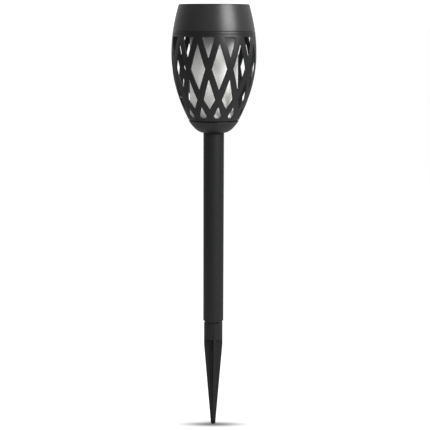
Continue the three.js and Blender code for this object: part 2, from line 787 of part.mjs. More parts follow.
// The button hangs by its flange on the base plate, and moves up into the switch when pressed.
function switchButton() {
  const headTop = basePlateZ - buttonTravel - fitGap;
  const headFoot = headTop - buttonHeight;
  const flangeFoot = baseTop + bondGap;
  return turned([
    [0, headFoot], [buttonRadius - buttonEdge, headFoot], [buttonRadius, headFoot + buttonEdge],
    [buttonRadius, headTop], [buttonStem, headTop], [buttonStem, flangeFoot],
    [buttonStem + buttonLip, flangeFoot], [buttonStem + buttonLip, flangeFoot + buttonFlange], [0, flangeFoot + buttonFlange],
  ], smallSteps).translate(0, switchY, 0);
}

// ---------- Leads ----------

const leadFoot = boardTop + fitGap;
const leadRise = 3; // straight stretch at a lead's end
const panelLeadShift = 8;

function panelLead(x) {
  const top = solarFoot - fitGap;
  const y = boardY;
  return wire([
    new THREE.Vector3(x, y + panelLeadShift, top), new THREE.Vector3(x, y + panelLeadShift, top - leadRise),
    new THREE.Vector3(x + leadRise, y + panelLeadShift / 2, (top + leadFoot) / 2),
    new THREE.Vector3(x, y, leadFoot + leadRise), new THREE.Vector3(x, y, leadFoot),
  ], leadRadius, leadSteps);
}

function batteryLead(side) {
  const endX = batteryX + (side * batteryLength) / 2;
  const endY = cradleFront - leadRadius - fitGap;
  const landX = side * (boardCornerX - leadRise);
  const landY = boardBack - 3 * postRadius;
  return wire([
    new THREE.Vector3(endX, endY, batteryZ),
    new THREE.Vector3(endX - side * leadRise, endY - leadRise, batteryZ),
    new THREE.Vector3(landX + side * leadRise, boardBack, leadFoot + 2 * leadRise),
    new THREE.Vector3(landX, landY, leadFoot + leadRise), new THREE.Vector3(landX, landY, leadFoot),
  ], leadRadius, leadSteps);
}

function lampLead() {
  const landY = boardBack - leadRise;
  return wire([
    new THREE.Vector3(0, landY, leadFoot), new THREE.Vector3(0, landY, leadFoot + leadRise / 2),
    new THREE.Vector3(0, (landY + wireHoleY) / 2, leadFoot + leadRise),
    new THREE.Vector3(0, wireHoleY, leadFoot), new THREE.Vector3(0, wireHoleY, baseTop),
    new THREE.Vector3(0, wireHoleY, basePlateZ - lampLeadDrop),
  ], leadRadius, lampLeadSteps);
}

// ---------- Assembly ----------

const torch = new THREE.Group();

function piece(name, shape, material) {
  const mesh = new THREE.Mesh(shape.isBufferGeometry ? shape : toGeometry(shape), material);
  mesh.name = name;
  torch.add(mesh);
  return mesh;
}

// Identical screws, one at each place, driven down or up.
function screws(name, spots, length, headSeat, up = false) {
  spots.forEach(([x, y], i) => {
    const mesh = piece(`${name}_${i + 1}`, screw(length), steel());
    mesh.position.set(x, y, headSeat + (up ? -bondGap : bondGap));
    if (up) mesh.rotation.x = Math.PI;
  });
}

piece("ground_spike", groundSpike(), blackSpike());
piece("pole", pole(), blackShell());
piece("lower_bowl", bowl(), blackShell());
piece("lattice_cage", latticeCage(), blackShell());
screws("bowl_screw", bowlScrews, bowlScrewLength, flangeTop);

piece("rim_seal", turnedTube(
  plateRadius, ringBore + fitGap, cageTop + fitGap, cageTop + fitGap + rimSealThickness,
), rubber());

piece("crown_shell", crownShell(), blackShell());
piece("window_tape", turnedTube(
  recessRadius - fitGap, solarRadius + fitGap, tapeFoot, windowFoot - bondGap, lampSteps,
), rubber());
piece("solar_window", turnedDisc(recessRadius - fitGap, windowFoot, windowTop), clearPlastic());
piece("solar_board", turnedDisc(solarRadius - fitGap, solarFoot, solarTop, lampSteps), boardBlack());
for (let i = 0; i < cellCount; i++) piece(`solar_cell_${i + 1}`, solarCell(i), cellBlue());

const sealZ = baseTop + bondGap + sealSection;
const sealCircle = new THREE.EllipseCurve(sealRadius, sealZ, sealSection, sealSection).getPoints(sealSides);
piece("base_seal", turned(sealCircle.slice(0, sealSides).map((corner) => [corner.x, corner.y])), rubber());
piece("base_plate", basePlate(), blackShell());
screws("base_screw", baseScrews, baseScrewLength, basePlateZ, true);

piece("diffuser", diffuser(), frosted());
piece("led_core", ledCore(), whitePlastic());
piece("led_strip", ledStrip(), whitePlastic());
screws("core_screw", coreScrews, coreScrewLength, coreTop - coreFlangeThickness, true);

piece("battery_cradle", batteryCradle(), whitePlastic());
piece("battery", battery(), batterySleeve());
piece("battery_spring", batterySpring(), steel());
piece("spring_contact", contactPlate(negativeContactX), steel());
piece("terminal_contact", contactPlate(positiveContactX), steel());

piece("control_board", controlBoard(), boardGreen());
screws("board_screw", boardScrews, boardScrewLength, boardTop);
piece("driver_chip", boardPart(chipSize, -boardWidth / 4, boardY - boardDepth / 5), chipBlack());
piece("charge_coil", roundBoardPart(coilSize, boardWidth / 4, boardY - boardDepth / 4), chipBlack());
piece("storage_capacitor", roundBoardPart(
  capacitorSize, -boardWidth / 5, boardY + boardDepth / 5,
), chipBlack());
piece("switch_body", switchBody(), chipBlack());
piece("switch_button", switchButton(), rubber());

piece("panel_lead_red", panelLead(panelLeads[0]), redInsulation());
piece("panel_lead_black", panelLead(panelLeads[1]), blackInsulation());
piece("battery_lead_red", batteryLead(1), redInsulation());
piece("battery_lead_black", batteryLead(-1), blackInsulation());
piece("lamp_lead", lampLead(), blackInsulation());

export default torch;
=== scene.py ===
# A solar garden torch: ground spike, pole, lattice head with a frosted lamp, and a crown with a solar panel.
# Lengths are in millimetres until a mesh is made, and in metres after that.
import json
import math
import bpy
from mathutils import Matrix, Vector
from mathutils.geometry import delaunay_2d_cdt


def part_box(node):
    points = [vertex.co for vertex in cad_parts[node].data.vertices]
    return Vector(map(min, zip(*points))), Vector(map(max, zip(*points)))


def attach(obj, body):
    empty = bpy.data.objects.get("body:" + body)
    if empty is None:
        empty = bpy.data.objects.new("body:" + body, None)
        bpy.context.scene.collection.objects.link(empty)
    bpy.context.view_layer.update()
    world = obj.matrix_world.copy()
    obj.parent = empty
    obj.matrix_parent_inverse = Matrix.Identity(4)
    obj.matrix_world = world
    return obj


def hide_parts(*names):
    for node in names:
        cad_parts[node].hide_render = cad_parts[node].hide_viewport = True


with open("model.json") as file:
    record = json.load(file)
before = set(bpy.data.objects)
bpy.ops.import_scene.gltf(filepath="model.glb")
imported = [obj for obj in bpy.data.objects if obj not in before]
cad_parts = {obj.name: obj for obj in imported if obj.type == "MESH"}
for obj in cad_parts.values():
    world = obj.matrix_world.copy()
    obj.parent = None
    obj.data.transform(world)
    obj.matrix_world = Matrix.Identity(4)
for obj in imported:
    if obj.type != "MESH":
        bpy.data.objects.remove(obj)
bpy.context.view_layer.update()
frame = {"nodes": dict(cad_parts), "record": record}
scene = bpy.context.scene
mm = 0.001


def nodeBox(name):
    low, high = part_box(name)
    return low / mm, high / mm


cageLow, cageHigh = nodeBox("lattice_cage")
crownLow, crownHigh = nodeBox("crown_shell")
bowlHigh = nodeBox("lower_bowl")[1]
poleLow, poleHigh = nodeBox("pole")
spikeLow = nodeBox("ground_spike")[0]
diffuserLow, diffuserHigh = nodeBox("diffuser")

# The head's outline is shared by crown and cage.
head = {
    "bellyRadius": cageHigh.x,
    "bellyDrop": 31.4,  # below the crown's lower rim
    "bellyRun": 45.5,  # control point below the belly
    "crownTopRadius": 48.6,
    "seamRadius": 35.2,  # at the cage's foot
    "rimRise": 0.9,  # of the bowl's rim over its box
    "seamGap": 1.4,  # between bowl and cage
    "wall": 2.6,
}
seamZ = crownLow.z
crownTop = crownHigh.z
bowlRim = bowlHigh.z + head["rimRise"]
cageFoot = bowlRim + head["seamGap"]
cageTop = cageHigh.z
bellyZ = seamZ - head["bellyDrop"]
upperCurve = ((head["bellyRadius"], bellyZ), (head["bellyRadius"], (bellyZ + crownTop) / 2),
              (head["crownTopRadius"], crownTop))
lowerCurve = ((head["seamRadius"], cageFoot), (head["bellyRadius"], bellyZ - head["bellyRun"]),
              (head["bellyRadius"], bellyZ))
tiny = 1e-9


# One coordinate of a curve with a single control point.
def curved(t, start, control, end):
    return (1 - t) ** 2 * start + 2 * t * (1 - t) * control + t * t * end


# The outline's radius at a height, and its outward normal in the (radius, height) plane.
def headPoint(z):
    (r0, z0), (r1, z1), (r2, z2) = upperCurve if z > bellyZ else lowerCurve
    a, b, c = z0 - 2 * z1 + z2, 2 * (z1 - z0), z0 - z
    t = -c / b if abs(a) < tiny else (-b + math.sqrt(max(0.0, b * b - 4 * a * c))) / (2 * a)
    dr = 2 * (1 - t) * (r1 - r0) + 2 * t * (r2 - r1)
    dz = 2 * (1 - t) * (z1 - z0) + 2 * t * (z2 - z1)
    length = math.hypot(dr, dz)
    return curved(t, r0, r1, r2), (dz / length, -dr / length)


# A point of the head at a height, some depth under its skin.
def headDepth(z, depth):
    radius, (nr, nz) = headPoint(z)
    return radius - depth * nr, z - depth * nz


def spread(low, high, count):
    return [low + (high - low) * i / count for i in range(count + 1)]


# Makes a piece of (vertices, faces, normals), and says what it rides on and what it replaces.
def makePiece(name, shape, material, body, replaced):
    verts, faces, normals = shape
    mesh = bpy.data.meshes.new(name)
    mesh.from_pydata([tuple(c * mm for c in v) for v in verts], [], faces)
    mesh.polygons.foreach_set("use_smooth", [True] * len(mesh.polygons))
    mesh.normals_split_custom_set_from_vertices(normals)
    piece = bpy.data.objects.new(name, mesh)
    scene.collection.objects.link(piece)
    mesh.materials.append(materials[material])
    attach(piece, body)
    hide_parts(replaced)


softEdge, plainEdge, crispEdge = 0.4, 0.3, 0.2  # fillets that the outlines share


# Corners of (radius, height) or (radius, height, fillet), with an arc at each fillet.
def rounded(corners, closed=True, arcSteps=4):
    count = len(corners)
    out = []
    for i, corner in enumerate(corners):
        here = Vector(corner[:2])
        if len(corner) < 3 or (not closed and i in (0, count - 1)):
            out.append(tuple(here))
            continue
        before = Vector(corners[i - 1][:2]) - here
        after = Vector(corners[(i + 1) % count][:2]) - here
        turn = before.angle(after)
        if turn > math.pi - 0.02:  # straight, so there is nothing to round
            out.append(tuple(here))
            continue
        longest = min(before.length, after.length) * 0.49  # two arcs can share a side
        reach = min(corner[2] / math.tan(turn / 2), longest)
        before, after = before.normalized(), after.normalized()
        radius = reach * math.tan(turn / 2)
        centre = here + (before + after).normalized() * (radius / math.sin(turn / 2))
        start, end = here + before * reach - centre, here + after * reach - centre
        sweep = math.atan2(start.x * end.y - start.y * end.x, start.dot(end))
        for k in range(arcSteps + 1):
            out.append(tuple(centre + Matrix.Rotation(sweep * k / arcSteps, 2) @ start))
    return out


# Normals of a profile that runs up its outside, led by the longer of the two sides at a point.
def profileNormals(points, closed):
    count = len(points)
    normals = []
    for i in range(count):
        total = Vector((0.0, 0.0))
        for a, b in ((i - 1, i), (i, i + 1)):
            if closed or (a >= 0 and b < count):
                step = Vector(points[b % count]) - Vector(points[a % count])
                total += Vector((step.y, -step.x)) * step.length
        normals.append(total.normalized() if total.length > 1e-12 else Vector((1.0, 0.0)))
    return normals


# Turns a profile round the axis: vertices, faces and vertex normals.
def turned(points, steps=144, closed=True):
    onAxis = 1e-6
    closed = closed and min(p[0] for p in points) > onAxis
    normals = profileNormals(points, closed)
    verts, outNormals, rows = [], [], []
    for (radius, z), normal in zip(points, normals):
        if radius < onAxis:
            verts.append((0, 0, z))
            outNormals.append((0, 0, 1 if normal.y > 0 else -1))
            rows.append([len(verts) - 1] * steps)
            continue
        rows.append(list(range(len(verts), len(verts) + steps)))
        for k in range(steps):
            c, s = math.cos(2 * math.pi * k / steps), math.sin(2 * math.pi * k / steps)
            verts.append((radius * c, radius * s, z))
            outNormals.append((normal.x * c, normal.x * s, normal.y))
    faces = []
    for j in range(len(rows) if closed else len(rows) - 1):
        low, high = rows[j], rows[(j + 1) % len(rows)]
        for k in range(steps):
            n = (k + 1) % steps
            face = [low[k], low[n], high[n], high[k]]
            face = [v for i, v in enumerate(face) if v != face[i - 1]]
            if len(face) > 2:
                faces.append(face)
    return verts, faces, outNormals


# Faces between rows of vertices, where each row is a loop and the rows may be a ring too.
def rowFaces(count, wide, closed=True):
    faces = []
    for k in range(count if closed else count - 1):
        here, there = k * wide, (k + 1) % count * wide
        for i in range(wide):
            after = (i + 1) % wide
            faces.append([here + i, there + i, there + after, here + after])
    return faces


def joined(*parts):
    verts, faces, normals = [], [], []
    for partVerts, partFaces, partNormals in parts:
        start = len(verts)
        verts += partVerts
        normals += partNormals
        faces += [[start + v for v in face] for face in partFaces]
    return verts, faces, normals


# A block bent round the axis with rounded edges, for keys and ribs.
def bentBlock(angle, sweep, inner, outer, low, high, edge=plainEdge, steps=10):
    section = rounded([(outer, low, edge), (outer, high, edge), (inner, high), (inner, low)], arcSteps=2)
    flat = profileNormals(section, True)
    wide = len(section)
    verts, normals = [], []
    for k in range(steps + 1):
        around = math.radians(angle + sweep * k / steps)
        c, s = math.cos(around), math.sin(around)
        verts += [(r * c, r * s, z) for r, z in section]
        normals += [(n.x * c, n.x * s, n.y) for n in flat]
    faces = rowFaces(steps + 1, wide, closed=False)
    ends = ((0, verts[:wide], 1), (steps, verts[-wide:], -1))
    for k, row, way in ends:
        ring = [len(verts) + i for i in range(wide)]
        around = math.radians(angle + sweep * k / steps)
        verts += row
        normals += [(math.sin(around) * way, -math.cos(around) * way, 0)] * wide
        faces.append(ring if way > 0 else ring[::-1])
    return verts, faces, normals


def newGroup(name, inputs, outputs):
    tree = bpy.data.node_groups.new(name, "ShaderNodeTree")
    for label, kind, value in inputs:
        made = tree.interface.new_socket(name=label, in_out="INPUT", socket_type=kind)
        if value is not None:
            made.default_value = value
    for label, kind in outputs:
        tree.interface.new_socket(name=label, in_out="OUTPUT", socket_type=kind)
    return tree, tree.nodes.new("NodeGroupInput"), tree.nodes.new("NodeGroupOutput")


# Places a node group in a material with its own values.
def placeGroup(tree, group, values):
    node = tree.nodes.new("ShaderNodeGroup")
    node.node_tree = group
    for label, value in values.items():
        node.inputs[label].default_value = value
    return node


# Sets each of a node's sockets to a value, or links it.
def fillSockets(tree, pairs):
    for socket, value in pairs:
        if isinstance(value, (int, float, tuple)):
            socket.default_value = value
        elif value is not None:
            tree.links.new(value, socket)


def mathNode(tree, operation, first, second=None, third=None):
    node = tree.nodes.new("ShaderNodeMath")
    node.operation = operation
    fillSockets(tree, zip(node.inputs, (first, second, third)))
    return node.outputs[0]


def mixColors(tree, factor, first, second):
    node = tree.nodes.new("ShaderNodeMix")
    node.data_type = "RGBA"
    fillSockets(tree, ((node.inputs[0], factor), (node.inputs[6], first), (node.inputs[7], second)))
    return node.outputs[2]


def rangeNode(tree, value, low, high, newLow=0.0, newHigh=1.0):
    node = tree.nodes.new("ShaderNodeMapRange")
    fillSockets(tree, zip(node.inputs, (value, low, high, newLow, newHigh)))
    return node.outputs[0]


def noiseNode(tree, coordinates, scale, detail=2.0, rough=0.5):
    node = tree.nodes.new("ShaderNodeTexNoise")
    fillSockets(tree, ((node.inputs["Vector"], coordinates), (node.inputs["Scale"], scale),
                       (node.inputs["Detail"], detail), (node.inputs["Roughness"], rough)))
    return node.outputs["Fac"]


# The piece's own coordinates in metres, as a vector.
def placeNode(tree):
    return tree.nodes.new("ShaderNodeTexCoord").outputs["Object"]


def splitVector(tree, vector):
    parts = tree.nodes.new("ShaderNodeSeparateXYZ")
    tree.links.new(vector, parts.inputs[0])
    return parts.outputs


# Moulded plastic's skin: a spark-eroded grain, slow waviness, and patches more or less polished.
def moldedSkinGroup():
    tree, given, result = newGroup("molded_skin", [
        ("Grain size", "NodeSocketFloat", 0.35), ("Grain depth", "NodeSocketFloat", 1.0),
        ("Roughness", "NodeSocketFloat", 0.4), ("Roughness spread", "NodeSocketFloat", 0.06),
        ("Base", "NodeSocketColor", None), ("Tint spread", "NodeSocketFloat", 0.12),
    ], [("Color", "NodeSocketColor"), ("Roughness", "NodeSocketFloat"), ("Height", "NodeSocketFloat")])
    place = placeNode(tree)
    scale = mathNode(tree, "DIVIDE", 1000.0, given.outputs["Grain size"])
    fine = noiseNode(tree, place, scale, detail=3.0, rough=0.6)
    slow = noiseNode(tree, place, 28.0, detail=3.0)
    patches = noiseNode(tree, place, 90.0, detail=4.0, rough=0.6)
    pitScale = mathNode(tree, "MULTIPLY", scale, 0.8)
    pits = tree.nodes.new("ShaderNodeTexVoronoi")
    fillSockets(tree, ((pits.inputs["Vector"], place), (pits.inputs["Scale"], pitScale)))

    grain = mathNode(tree, "MULTIPLY_ADD", pits.outputs["Distance"], 0.5, fine)
    height = mathNode(tree, "MULTIPLY", grain, given.outputs["Grain depth"])
    tree.links.new(mathNode(tree, "MULTIPLY_ADD", slow, 0.6, height), result.inputs["Height"])

    mottle = mathNode(tree, "MULTIPLY_ADD", patches, 0.6, mathNode(tree, "MULTIPLY", slow, 0.4))
    swing = mathNode(tree, "SUBTRACT", mottle, 0.5)
    spread = mathNode(tree, "MULTIPLY", swing, given.outputs["Roughness spread"])
    rough = mathNode(tree, "ADD", spread, given.outputs["Roughness"])
    speckle = mathNode(tree, "SUBTRACT", fine, 0.5)
    tree.links.new(mathNode(tree, "MULTIPLY_ADD", speckle, 0.05, rough), result.inputs["Roughness"])

    tint = mathNode(tree, "MULTIPLY_ADD", swing, given.outputs["Tint spread"], 1.0)
    tinted = tree.nodes.new("ShaderNodeVectorMath")
    tinted.operation = "SCALE"
    tree.links.new(given.outputs["Base"], tinted.inputs[0])
    tree.links.new(tint, tinted.inputs["Scale"])
    tree.links.new(tinted.outputs[0], result.inputs["Color"])
    return tree


# Light wear: fine dust on faces that look up, pale rubbing on edges, and sparse upright scratches.
def lightWearGroup():
    tree, given, result = newGroup("light_wear", [
        ("Dust", "NodeSocketFloat", 0.1), ("Edge rub", "NodeSocketFloat", 0.2),
    ], [("Dust mask", "NodeSocketFloat"), ("Edge mask", "NodeSocketFloat"),
        ("Scratch mask", "NodeSocketFloat")])
    place = placeNode(tree)
    shape = tree.nodes.new("ShaderNodeNewGeometry")
    up = rangeNode(tree, splitVector(tree, shape.outputs["Normal"])["Z"], 0.1, 1.0)
    specks = rangeNode(tree, noiseNode(tree, place, 900.0), 0.52, 0.75)
    cloud = rangeNode(tree, noiseNode(tree, place, 55.0, detail=3.0), 0.35, 0.75)
    fall = mathNode(tree, "MULTIPLY_ADD", up, 0.8, 0.2)
    cover = mathNode(tree, "MULTIPLY_ADD", specks, 0.6, mathNode(tree, "MULTIPLY", cloud, 0.4))
    dust = mathNode(tree, "MULTIPLY", fall, cover)
    tree.links.new(mathNode(tree, "MULTIPLY", dust, given.outputs["Dust"]), result.inputs["Dust mask"])

    edge = rangeNode(tree, shape.outputs["Pointiness"], 0.52, 0.62)
    broken = rangeNode(tree, noiseNode(tree, place, 240.0, detail=4.0), 0.4, 0.7)
    rub = mathNode(tree, "MULTIPLY", edge, broken)
    tree.links.new(mathNode(tree, "MULTIPLY", rub, given.outputs["Edge rub"]), result.inputs["Edge mask"])

    stretch = tree.nodes.new("ShaderNodeMapping")
    fillSockets(tree, ((stretch.inputs["Vector"], place), (stretch.inputs["Scale"], (1.0, 1.0, 0.06)),
                       (stretch.inputs["Rotation"], (0.25, 0.1, 0.0))))
    lines = rangeNode(tree, noiseNode(tree, stretch.outputs[0], 2600.0, detail=1.0), 0.72, 0.76)
    where = rangeNode(tree, noiseNode(tree, place, 70.0), 0.5, 0.6)
    tree.links.new(mathNode(tree, "MULTIPLY", lines, where), result.inputs["Scratch mask"])
    return tree


# Solar cells: thin silver fingers across, busbars along, and a faint crystal tone. Sizes are in millimetres.
def cellPrintGroup():
    tree, given, result = newGroup("cell_print", [
        ("Finger pitch", "NodeSocketFloat", 1.6), ("Finger width", "NodeSocketFloat", 0.12),
        ("Cell pitch", "NodeSocketFloat", 12.7), ("Busbar width", "NodeSocketFloat", 0.9),
    ], [("Print mask", "NodeSocketFloat"), ("Crystal", "NodeSocketFloat")])
    place = placeNode(tree)
    parts = splitVector(tree, place)
    positive = 40.0  # whole pitches added, so that no phase is negative

    def stripes(axis, pitch, width):
        along = mathNode(tree, "MULTIPLY", parts[axis], 1000.0)
        pitches = mathNode(tree, "ADD", mathNode(tree, "DIVIDE", along, pitch), positive)
        phase = mathNode(tree, "FRACT", pitches)
        share = mathNode(tree, "ABSOLUTE", mathNode(tree, "SUBTRACT", phase, 0.5))
        away = mathNode(tree, "MULTIPLY", share, pitch)
        return mathNode(tree, "LESS_THAN", away, mathNode(tree, "MULTIPLY", width, 0.5))

    fingers = stripes("Y", given.outputs["Finger pitch"], given.outputs["Finger width"])
    bars = stripes("X", given.outputs["Cell pitch"], given.outputs["Busbar width"])
    tree.links.new(mathNode(tree, "MAXIMUM", fingers, bars), result.inputs["Print mask"])
    crystal = tree.nodes.new("ShaderNodeTexVoronoi")
    fillSockets(tree, ((crystal.inputs["Vector"], place), (crystal.inputs["Scale"], 260.0)))
    tone = tree.nodes.new("ShaderNodeSeparateColor")
    tree.links.new(crystal.outputs["Color"], tone.inputs[0])
    tree.links.new(tone.outputs[0], result.inputs["Crystal"])
    return tree


# Painted glow for a translucent body, standing in for light scattered through it: full between two heights in
# metres, fading out past them as painted shade.
def paintedGlowGroup():
    tree, given, result = newGroup("painted_glow", [
        ("Foot", "NodeSocketFloat", 0.0), ("Foot fade", "NodeSocketFloat", 0.02),
        ("Top", "NodeSocketFloat", 1.0), ("Top fade", "NodeSocketFloat", 0.02),
    ], [("Mask", "NodeSocketFloat")])
    height = splitVector(tree, placeNode(tree))["Z"]
    sides = []
    for label, way in (("Foot", 1), ("Top", -1)):
        reach = mathNode(tree, "MULTIPLY", mathNode(tree, "SUBTRACT", height, given.outputs[label]), way)
        share = mathNode(tree, "DIVIDE", reach, given.outputs[label + " fade"])
        sides.append(mathNode(tree, "MINIMUM", mathNode(tree, "MAXIMUM", share, 0.0), 1.0))
    tree.links.new(mathNode(tree, "MULTIPLY", *sides), result.inputs["Mask"])
    return tree


moldedSkin, lightWear = moldedSkinGroup(), lightWearGroup()
cellPrint, paintedGlow = cellPrintGroup(), paintedGlowGroup()

# What a material has where its own look says nothing else. Grain is in millimetres.
plainLook = {
    "grain": 0.35, "depth": 1.0, "bump": 0.15, "bumpReach": 0.0001, "spread": 0.1, "tint": 0.2,
    "dust": 0.05, "dustColor": (0.42, 0.40, 0.37), "dustRoughness": 0.3,
    "rub": 0.15, "worn": (0.12, 0.12, 0.12), "scratch": 0.08,
    "specular": 0.5, "coat": 0.0, "coatRoughness": 0.1, "alpha": 1.0, "metal": 0.0,
}
looks = {
    "shell": {"base": (0.029, 0.0295, 0.0305), "roughness": 0.36, "grain": 0.3, "bump": 0.16, "dust": 0.02},
    "cage": {"base": (0.013, 0.0135, 0.0145), "roughness": 0.38, "grain": 0.3, "bump": 0.16, "dust": 0.015},
    "bowl": {"base": (0.017, 0.0175, 0.0185), "roughness": 0.38, "grain": 0.3, "bump": 0.16, "dust": 0.015},
    "pole": {"base": (0.012, 0.0125, 0.0135), "roughness": 0.42, "grain": 0.3, "bump": 0.16, "dust": 0.02},
    "spike": {"base": (0.01, 0.0104, 0.011), "roughness": 0.5, "grain": 0.5, "bump": 0.22, "dust": 0.02,
              "scratch": 0.15},
    "frosted": {"base": (0.88, 0.88, 0.86), "roughness": 0.55, "grain": 0.45, "bump": 0.12, "tint": 0.03,
                "dust": 0.04, "rub": 0.0,
                "scatter": 0.3, "scatterReach": 0.004, "scatterColor": (1.0, 0.95, 0.9),
                # painted glow in the frosted shell, fading near its foot and top as painted shade
                "paintedGlow": 0.3,
                "paintedGlowBand": {"Foot": 0.31, "Foot fade": 0.035, "Top": 0.428, "Top fade": 0.05}},
    "white": {"base": (0.8, 0.8, 0.78), "roughness": 0.5, "bump": 0.1, "tint": 0.05, "rub": 0.0},
    "rubber": {"base": (0.018, 0.018, 0.019), "roughness": 0.75, "grain": 0.6, "bump": 0.25,
               "specular": 0.35},
    "boardBlack": {"base": (0.012, 0.013, 0.016), "roughness": 0.32, "bump": 0.08, "coat": 0.3},
    "boardGreen": {"base": (0.02, 0.12, 0.05), "roughness": 0.4, "bump": 0.1, "coat": 0.3},
    "cell": {"base": (0.006, 0.012, 0.05), "roughness": 0.25, "bump": 0.04, "coat": 0.4, "rub": 0.0,
             "crystal": (0.012, 0.03, 0.11), "crystalShare": 0.6,
             "printColor": (0.55, 0.56, 0.58), "printMetal": 0.8,
             "print": {"Finger pitch": 1.6, "Finger width": 0.14, "Cell pitch": 12.74, "Busbar width": 1.0}},
    "window": {"base": (0.035, 0.04, 0.045), "roughness": 0.08, "bump": 0.02, "alpha": 0.22, "rub": 0.0,
               "coat": 0.5},
    "sleeve": {"base": (0.03, 0.14, 0.4), "roughness": 0.3, "bump": 0.06, "coat": 0.3},
    "chip": {"base": (0.016, 0.016, 0.017), "roughness": 0.5},
    "steel": {"base": (0.56, 0.56, 0.57), "roughness": 0.3, "bump": 0.1, "metal": 1.0, "grain": 0.2,
              "worn": (0.7, 0.7, 0.7)},
    "red": {"base": (0.4, 0.015, 0.012), "roughness": 0.4, "bump": 0.08},
    "black": {"base": (0.015, 0.015, 0.016), "roughness": 0.4, "bump": 0.08},
}


def makeMaterial(name, ownLook):
    look = {**plainLook, **ownLook}
    material = bpy.data.materials.new(name)
    material.use_nodes = True
    tree = material.node_tree
    shader = tree.nodes["Principled BSDF"]
    skin = placeGroup(tree, moldedSkin, {
        "Base": (*look["base"], 1.0), "Grain size": look["grain"], "Grain depth": look["depth"],
        "Roughness": look["roughness"], "Roughness spread": look["spread"], "Tint spread": look["tint"],
    }).outputs
    wear = placeGroup(tree, lightWear, {"Dust": look["dust"], "Edge rub": look["rub"]}).outputs
    color = mixColors(tree, wear["Dust mask"], skin["Color"], (*look["dustColor"], 1.0))
    color = mixColors(tree, wear["Edge mask"], color, (*look["worn"], 1.0))
    rough = mathNode(tree, "MULTIPLY_ADD", wear["Scratch mask"], look["scratch"], skin["Roughness"])
    rough = mathNode(tree, "MULTIPLY_ADD", wear["Dust mask"], look["dustRoughness"], rough)
    bump = tree.nodes.new("ShaderNodeBump")
    fillSockets(tree, ((bump.inputs["Strength"], look["bump"]), (bump.inputs["Distance"], look["bumpReach"]),
                       (bump.inputs["Height"], skin["Height"])))
    metal = look["metal"]
    if "print" in look:
        cells = placeGroup(tree, cellPrint, look["print"]).outputs
        crystal = mathNode(tree, "MULTIPLY", cells["Crystal"], look["crystalShare"])
        color = mixColors(tree, crystal, color, (*look["crystal"], 1.0))
        color = mixColors(tree, cells["Print mask"], color, (*look["printColor"], 1.0))
        metal = mathNode(tree, "MULTIPLY", cells["Print mask"], look["printMetal"])
    sockets = [("Base Color", color), ("Metallic", metal), ("Roughness", rough),
               ("Normal", bump.outputs["Normal"]), ("Specular IOR Level", look["specular"]),
               ("Coat Weight", look["coat"]), ("Coat Roughness", look["coatRoughness"]),
               ("Alpha", look["alpha"])]
    if "scatter" in look:
        sockets += [("Subsurface Weight", look["scatter"]), ("Subsurface Radius", look["scatterColor"]),
                    ("Subsurface Scale", look["scatterReach"])]
    # The frosted shell glows with painted light, dimmed near its ends as painted shade.
    if "paintedGlowBand" in look:
        paintedGlowBand = placeGroup(tree, paintedGlow, look["paintedGlowBand"]).outputs["Mask"]
        sockets += [("Emission Strength", mathNode(tree, "MULTIPLY", paintedGlowBand, look["paintedGlow"])),
                    ("Emission Color", (*look["base"], 1.0))]
    fillSockets(tree, [(shader.inputs[label], value) for label, value in sockets])
    return material


materials = {name: makeMaterial(name, look) for name, look in looks.items()}
slotLooks = {
    "black_shell": "shell", "black_spike": "spike", "frosted_white": "frosted", "white_plastic": "white",
    "black_rubber": "rubber", "board_green": "boardGreen", "board_black": "boardBlack", "solar_cell": "cell",
    "clear_window": "window", "battery_sleeve": "sleeve", "chip_black": "chip", "plated_steel": "steel",
    "red_insulation": "red", "black_insulation": "black",
}
for part in frame["record"]["subparts"]:
    partMaterials = frame["nodes"][part["node"]].data.materials
    partMaterials.clear()
    partMaterials.append(materials[slotLooks[part["material_slot"]]])
print("stage: materials")

# The lattice cage: crossed struts under a solid band, a threaded ring in the band, and a spigot at the foot.
cage = {
    "pairs": 12,
    "turn": 7.8,  # degrees from -Y to the middle of an opening
    "strutWidth": 8.7,
    "wall": 1.8,
    "crossings": (1.6, 50.5, 92.4, 115.2, 130.8),  # below the crown's lower rim
    "band": 7.8,  # solid at the top
    "sill": 3.7,  # solid at the foot
    "cornerRadius": 0.35,
    "edge": 0.6,  # rounding of the struts' outer edges
    "innerEdge": 0.35,
    "edgeSteps": (4, 3),  # on the outer and the inner edge
    "topEdge": 0.25,
    "topLip": 0.2,  # inside the wall
    "topLevels": 6,
    "grooveDrop": 3.9,  # of the fine groove under the top, from the crown's lower rim
    "grooveHalf": 0.3,
    "grooveDepth": 0.35,
    "grooveShape": (-2, -1, -0.6, 0, 0.6, 1, 2),  # heights on its section, in half widths
    "footEdge": 0.6,
    "footInset": 0.05,
    "footSlope": (2.2, 1.2, 0.9),  # width of the floor, and its height outside and inside
    "innerSkin": (2.2, 2.5),  # distances of its ends from the cage's foot and the crown's lower rim
    "spigot": (29.2, 31.0),  # bore and outside
    "flangeBore": 22.8,
    "flangeHeight": 2.0,
    "pitch": 1.5,  # size of the skin's triangles
    "columns": 10,  # in half an opening's width
    "flatRadius": 52.0,  # of the cylinder that the skin is divided up on
    "rimSteps": 240,
}
thread = {
    "ringHeight": 6.6,
    "ringDrop": 0.15,  # clear of the band's top, and of its own foot
    "ringOverlap": 0.8,  # into the band's wall
    "bore": 50.96,
    "grooves": 3,
    "grooveReach": 2.0,
    "grooveStart": -0.6,  # degrees
    "lugHeight": 2.2,
    "lugLift": 1.3,
    "lugFit": 0.3,
    "rise": 0.07,  # per degree
    "chamfer": 0.2,
    "thinnest": 0.05,
    "sliver": 0.02,  # height of a step between bore and groove
    "steps": 360,
}
sector = math.pi / cage["pairs"]


# How far a strut's edge lies from its middle line, up the axis and round it.
def strutReach(upper, lower):
    middle = seamZ - (cage["crossings"][upper] + cage["crossings"][lower]) / 2
    rise = cage["crossings"][lower] - cage["crossings"][upper]
    slant = math.atan2(headPoint(middle)[0] * sector, rise)
    return cage["strutWidth"] / 2 / math.sin(slant), cage["strutWidth"] / 2 / math.cos(slant)


